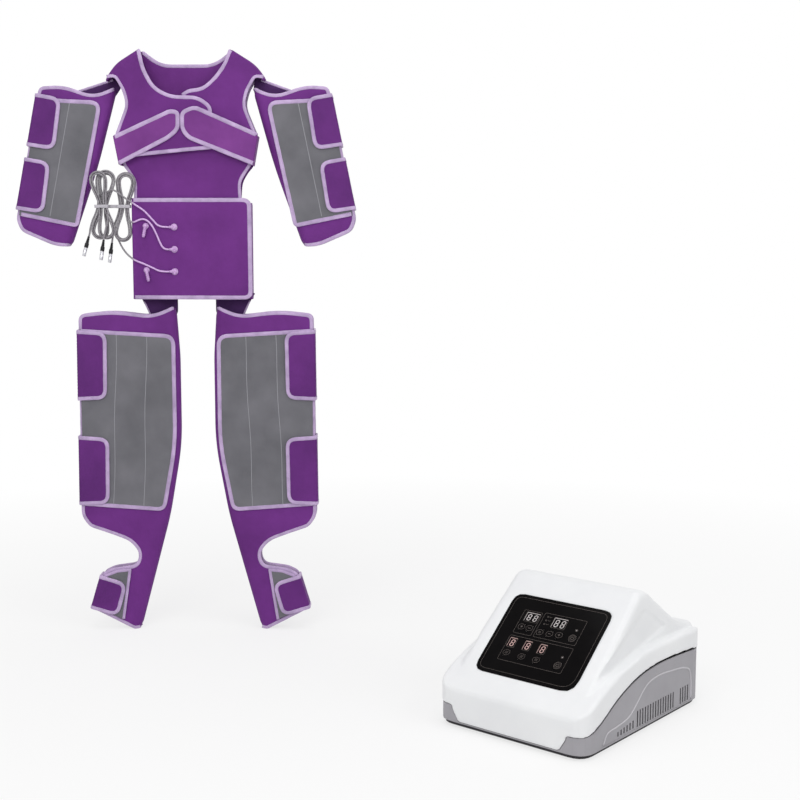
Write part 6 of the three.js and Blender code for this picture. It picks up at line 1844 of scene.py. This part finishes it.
def build_console():
    black = moulded_plastic("black_plastic", (26, 24, 28), (38, 36, 41), 0.55, 1000, 0.001, 0.35)
    build_cover(moulded_plastic("white_plastic", (229, 230, 232), (238, 239, 240), 0.36, 1400))
    build_case_details(black)
    dress(moulded_plastic("grey_plastic", (150, 148, 153), (164, 162, 167), 0.5, 1100, 0.0022),
          "lower_case")
    dress(black, "console_base", "rear_plate")
    dress(moulded_plastic("rocker_plastic", (20, 19, 22), (30, 28, 32), 0.35, 1300, 0.0006),
          "power_rocker")
    dress(panel_glass_material(), "panel_glass", *KEY_MARKS)
    dress(circuit_board(), "control_board")
    dress(metal("cast_metal", 0.5, 0.9, (300, 5, 0.7), (150, 152, 156), (186, 188, 192), 0.0006,
                0.6), "air_pump")
    build_panel_prints(
        ink("ink_bright", (176, 172, 172), (214, 208, 206)),
        ink("ink_faint", (84, 78, 76), (116, 108, 104)),
        ink("ink_heat", (186, 150, 146), (214, 184, 178)))


# Camera, light and floor
def build_camera():
    camera = bpy.data.cameras.new("camera")
    camera.lens = 59.27
    camera.sensor_width = 36
    holder = linked("camera", camera)
    holder.location = (0.170, -3.1165, 1.05)
    holder.rotation_euler = (math.radians(90 - 6.5), 0, 0)
    bpy.context.scene.camera = holder


def build_studio():
    """Soft light from above and both sides, and a pale floor."""
    def lamp(name, place, aim, size, power):
        data = bpy.data.lights.new(name, "AREA")
        data.shape = "RECTANGLE"
        data.size, data.size_y = size
        data.energy = power
        holder = linked(name, data)
        holder.location = place
        holder.rotation_euler = (Vector(aim) - Vector(place)).to_track_quat("-Z", "Y").to_euler()

    lamp("lamp_front", (-1.2, -3.4, 2.9), (0, 0.3, 0.8), (2.6, 2.0), 57)
    lamp("lamp_side", (3.0, -1.8, 2.4), (0.2, 0.2, 0.6), (2.0, 2.0), 27)
    lamp("lamp_top", (0.2, -0.4, 3.6), (0.2, 0, 0), (3.0, 3.0), 34)
    world = bpy.data.worlds.new("studio_world")
    sky = Nodes(world)
    soft, seen = (sky.add("Background", "Background", (1, 1, 1, 1), level) for level in (0.5, 1.0))
    mix = sky.add("MixShader", "Shader", sky.white_share(), soft, seen)
    sky.links.new(mix, sky.nodes["World Output"].inputs["Surface"])
    bpy.context.scene.world = world

    verts = [(x, y, -0.0006) for x, y in ((-15, -15), (15, -15), (15, 15), (-15, 15))]
    mesh_piece("floor", verts, [(0, 1, 2, 3)], floor_material())


build_camera()
build_cables(
    cable_jacket(), moulded_plastic("boot_rubber", (22, 20, 23), (36, 34, 38), 0.6, 900, 0.0, 0.3),
    metal("bright_metal", 0.3, 1.0, (1600, 3, 0.6), (188, 188, 194), (224, 224, 228), 0.0001, 0.3))
build_suit()
build_fittings(lilac_rubber())
build_tie(woven_cloth("tie_cloth", (168, 166, 172), (204, 200, 208), 0.0009, sheen=0.1))
build_console()
build_studio()
bpy.context.scene.view_settings.view_transform = "Standard"
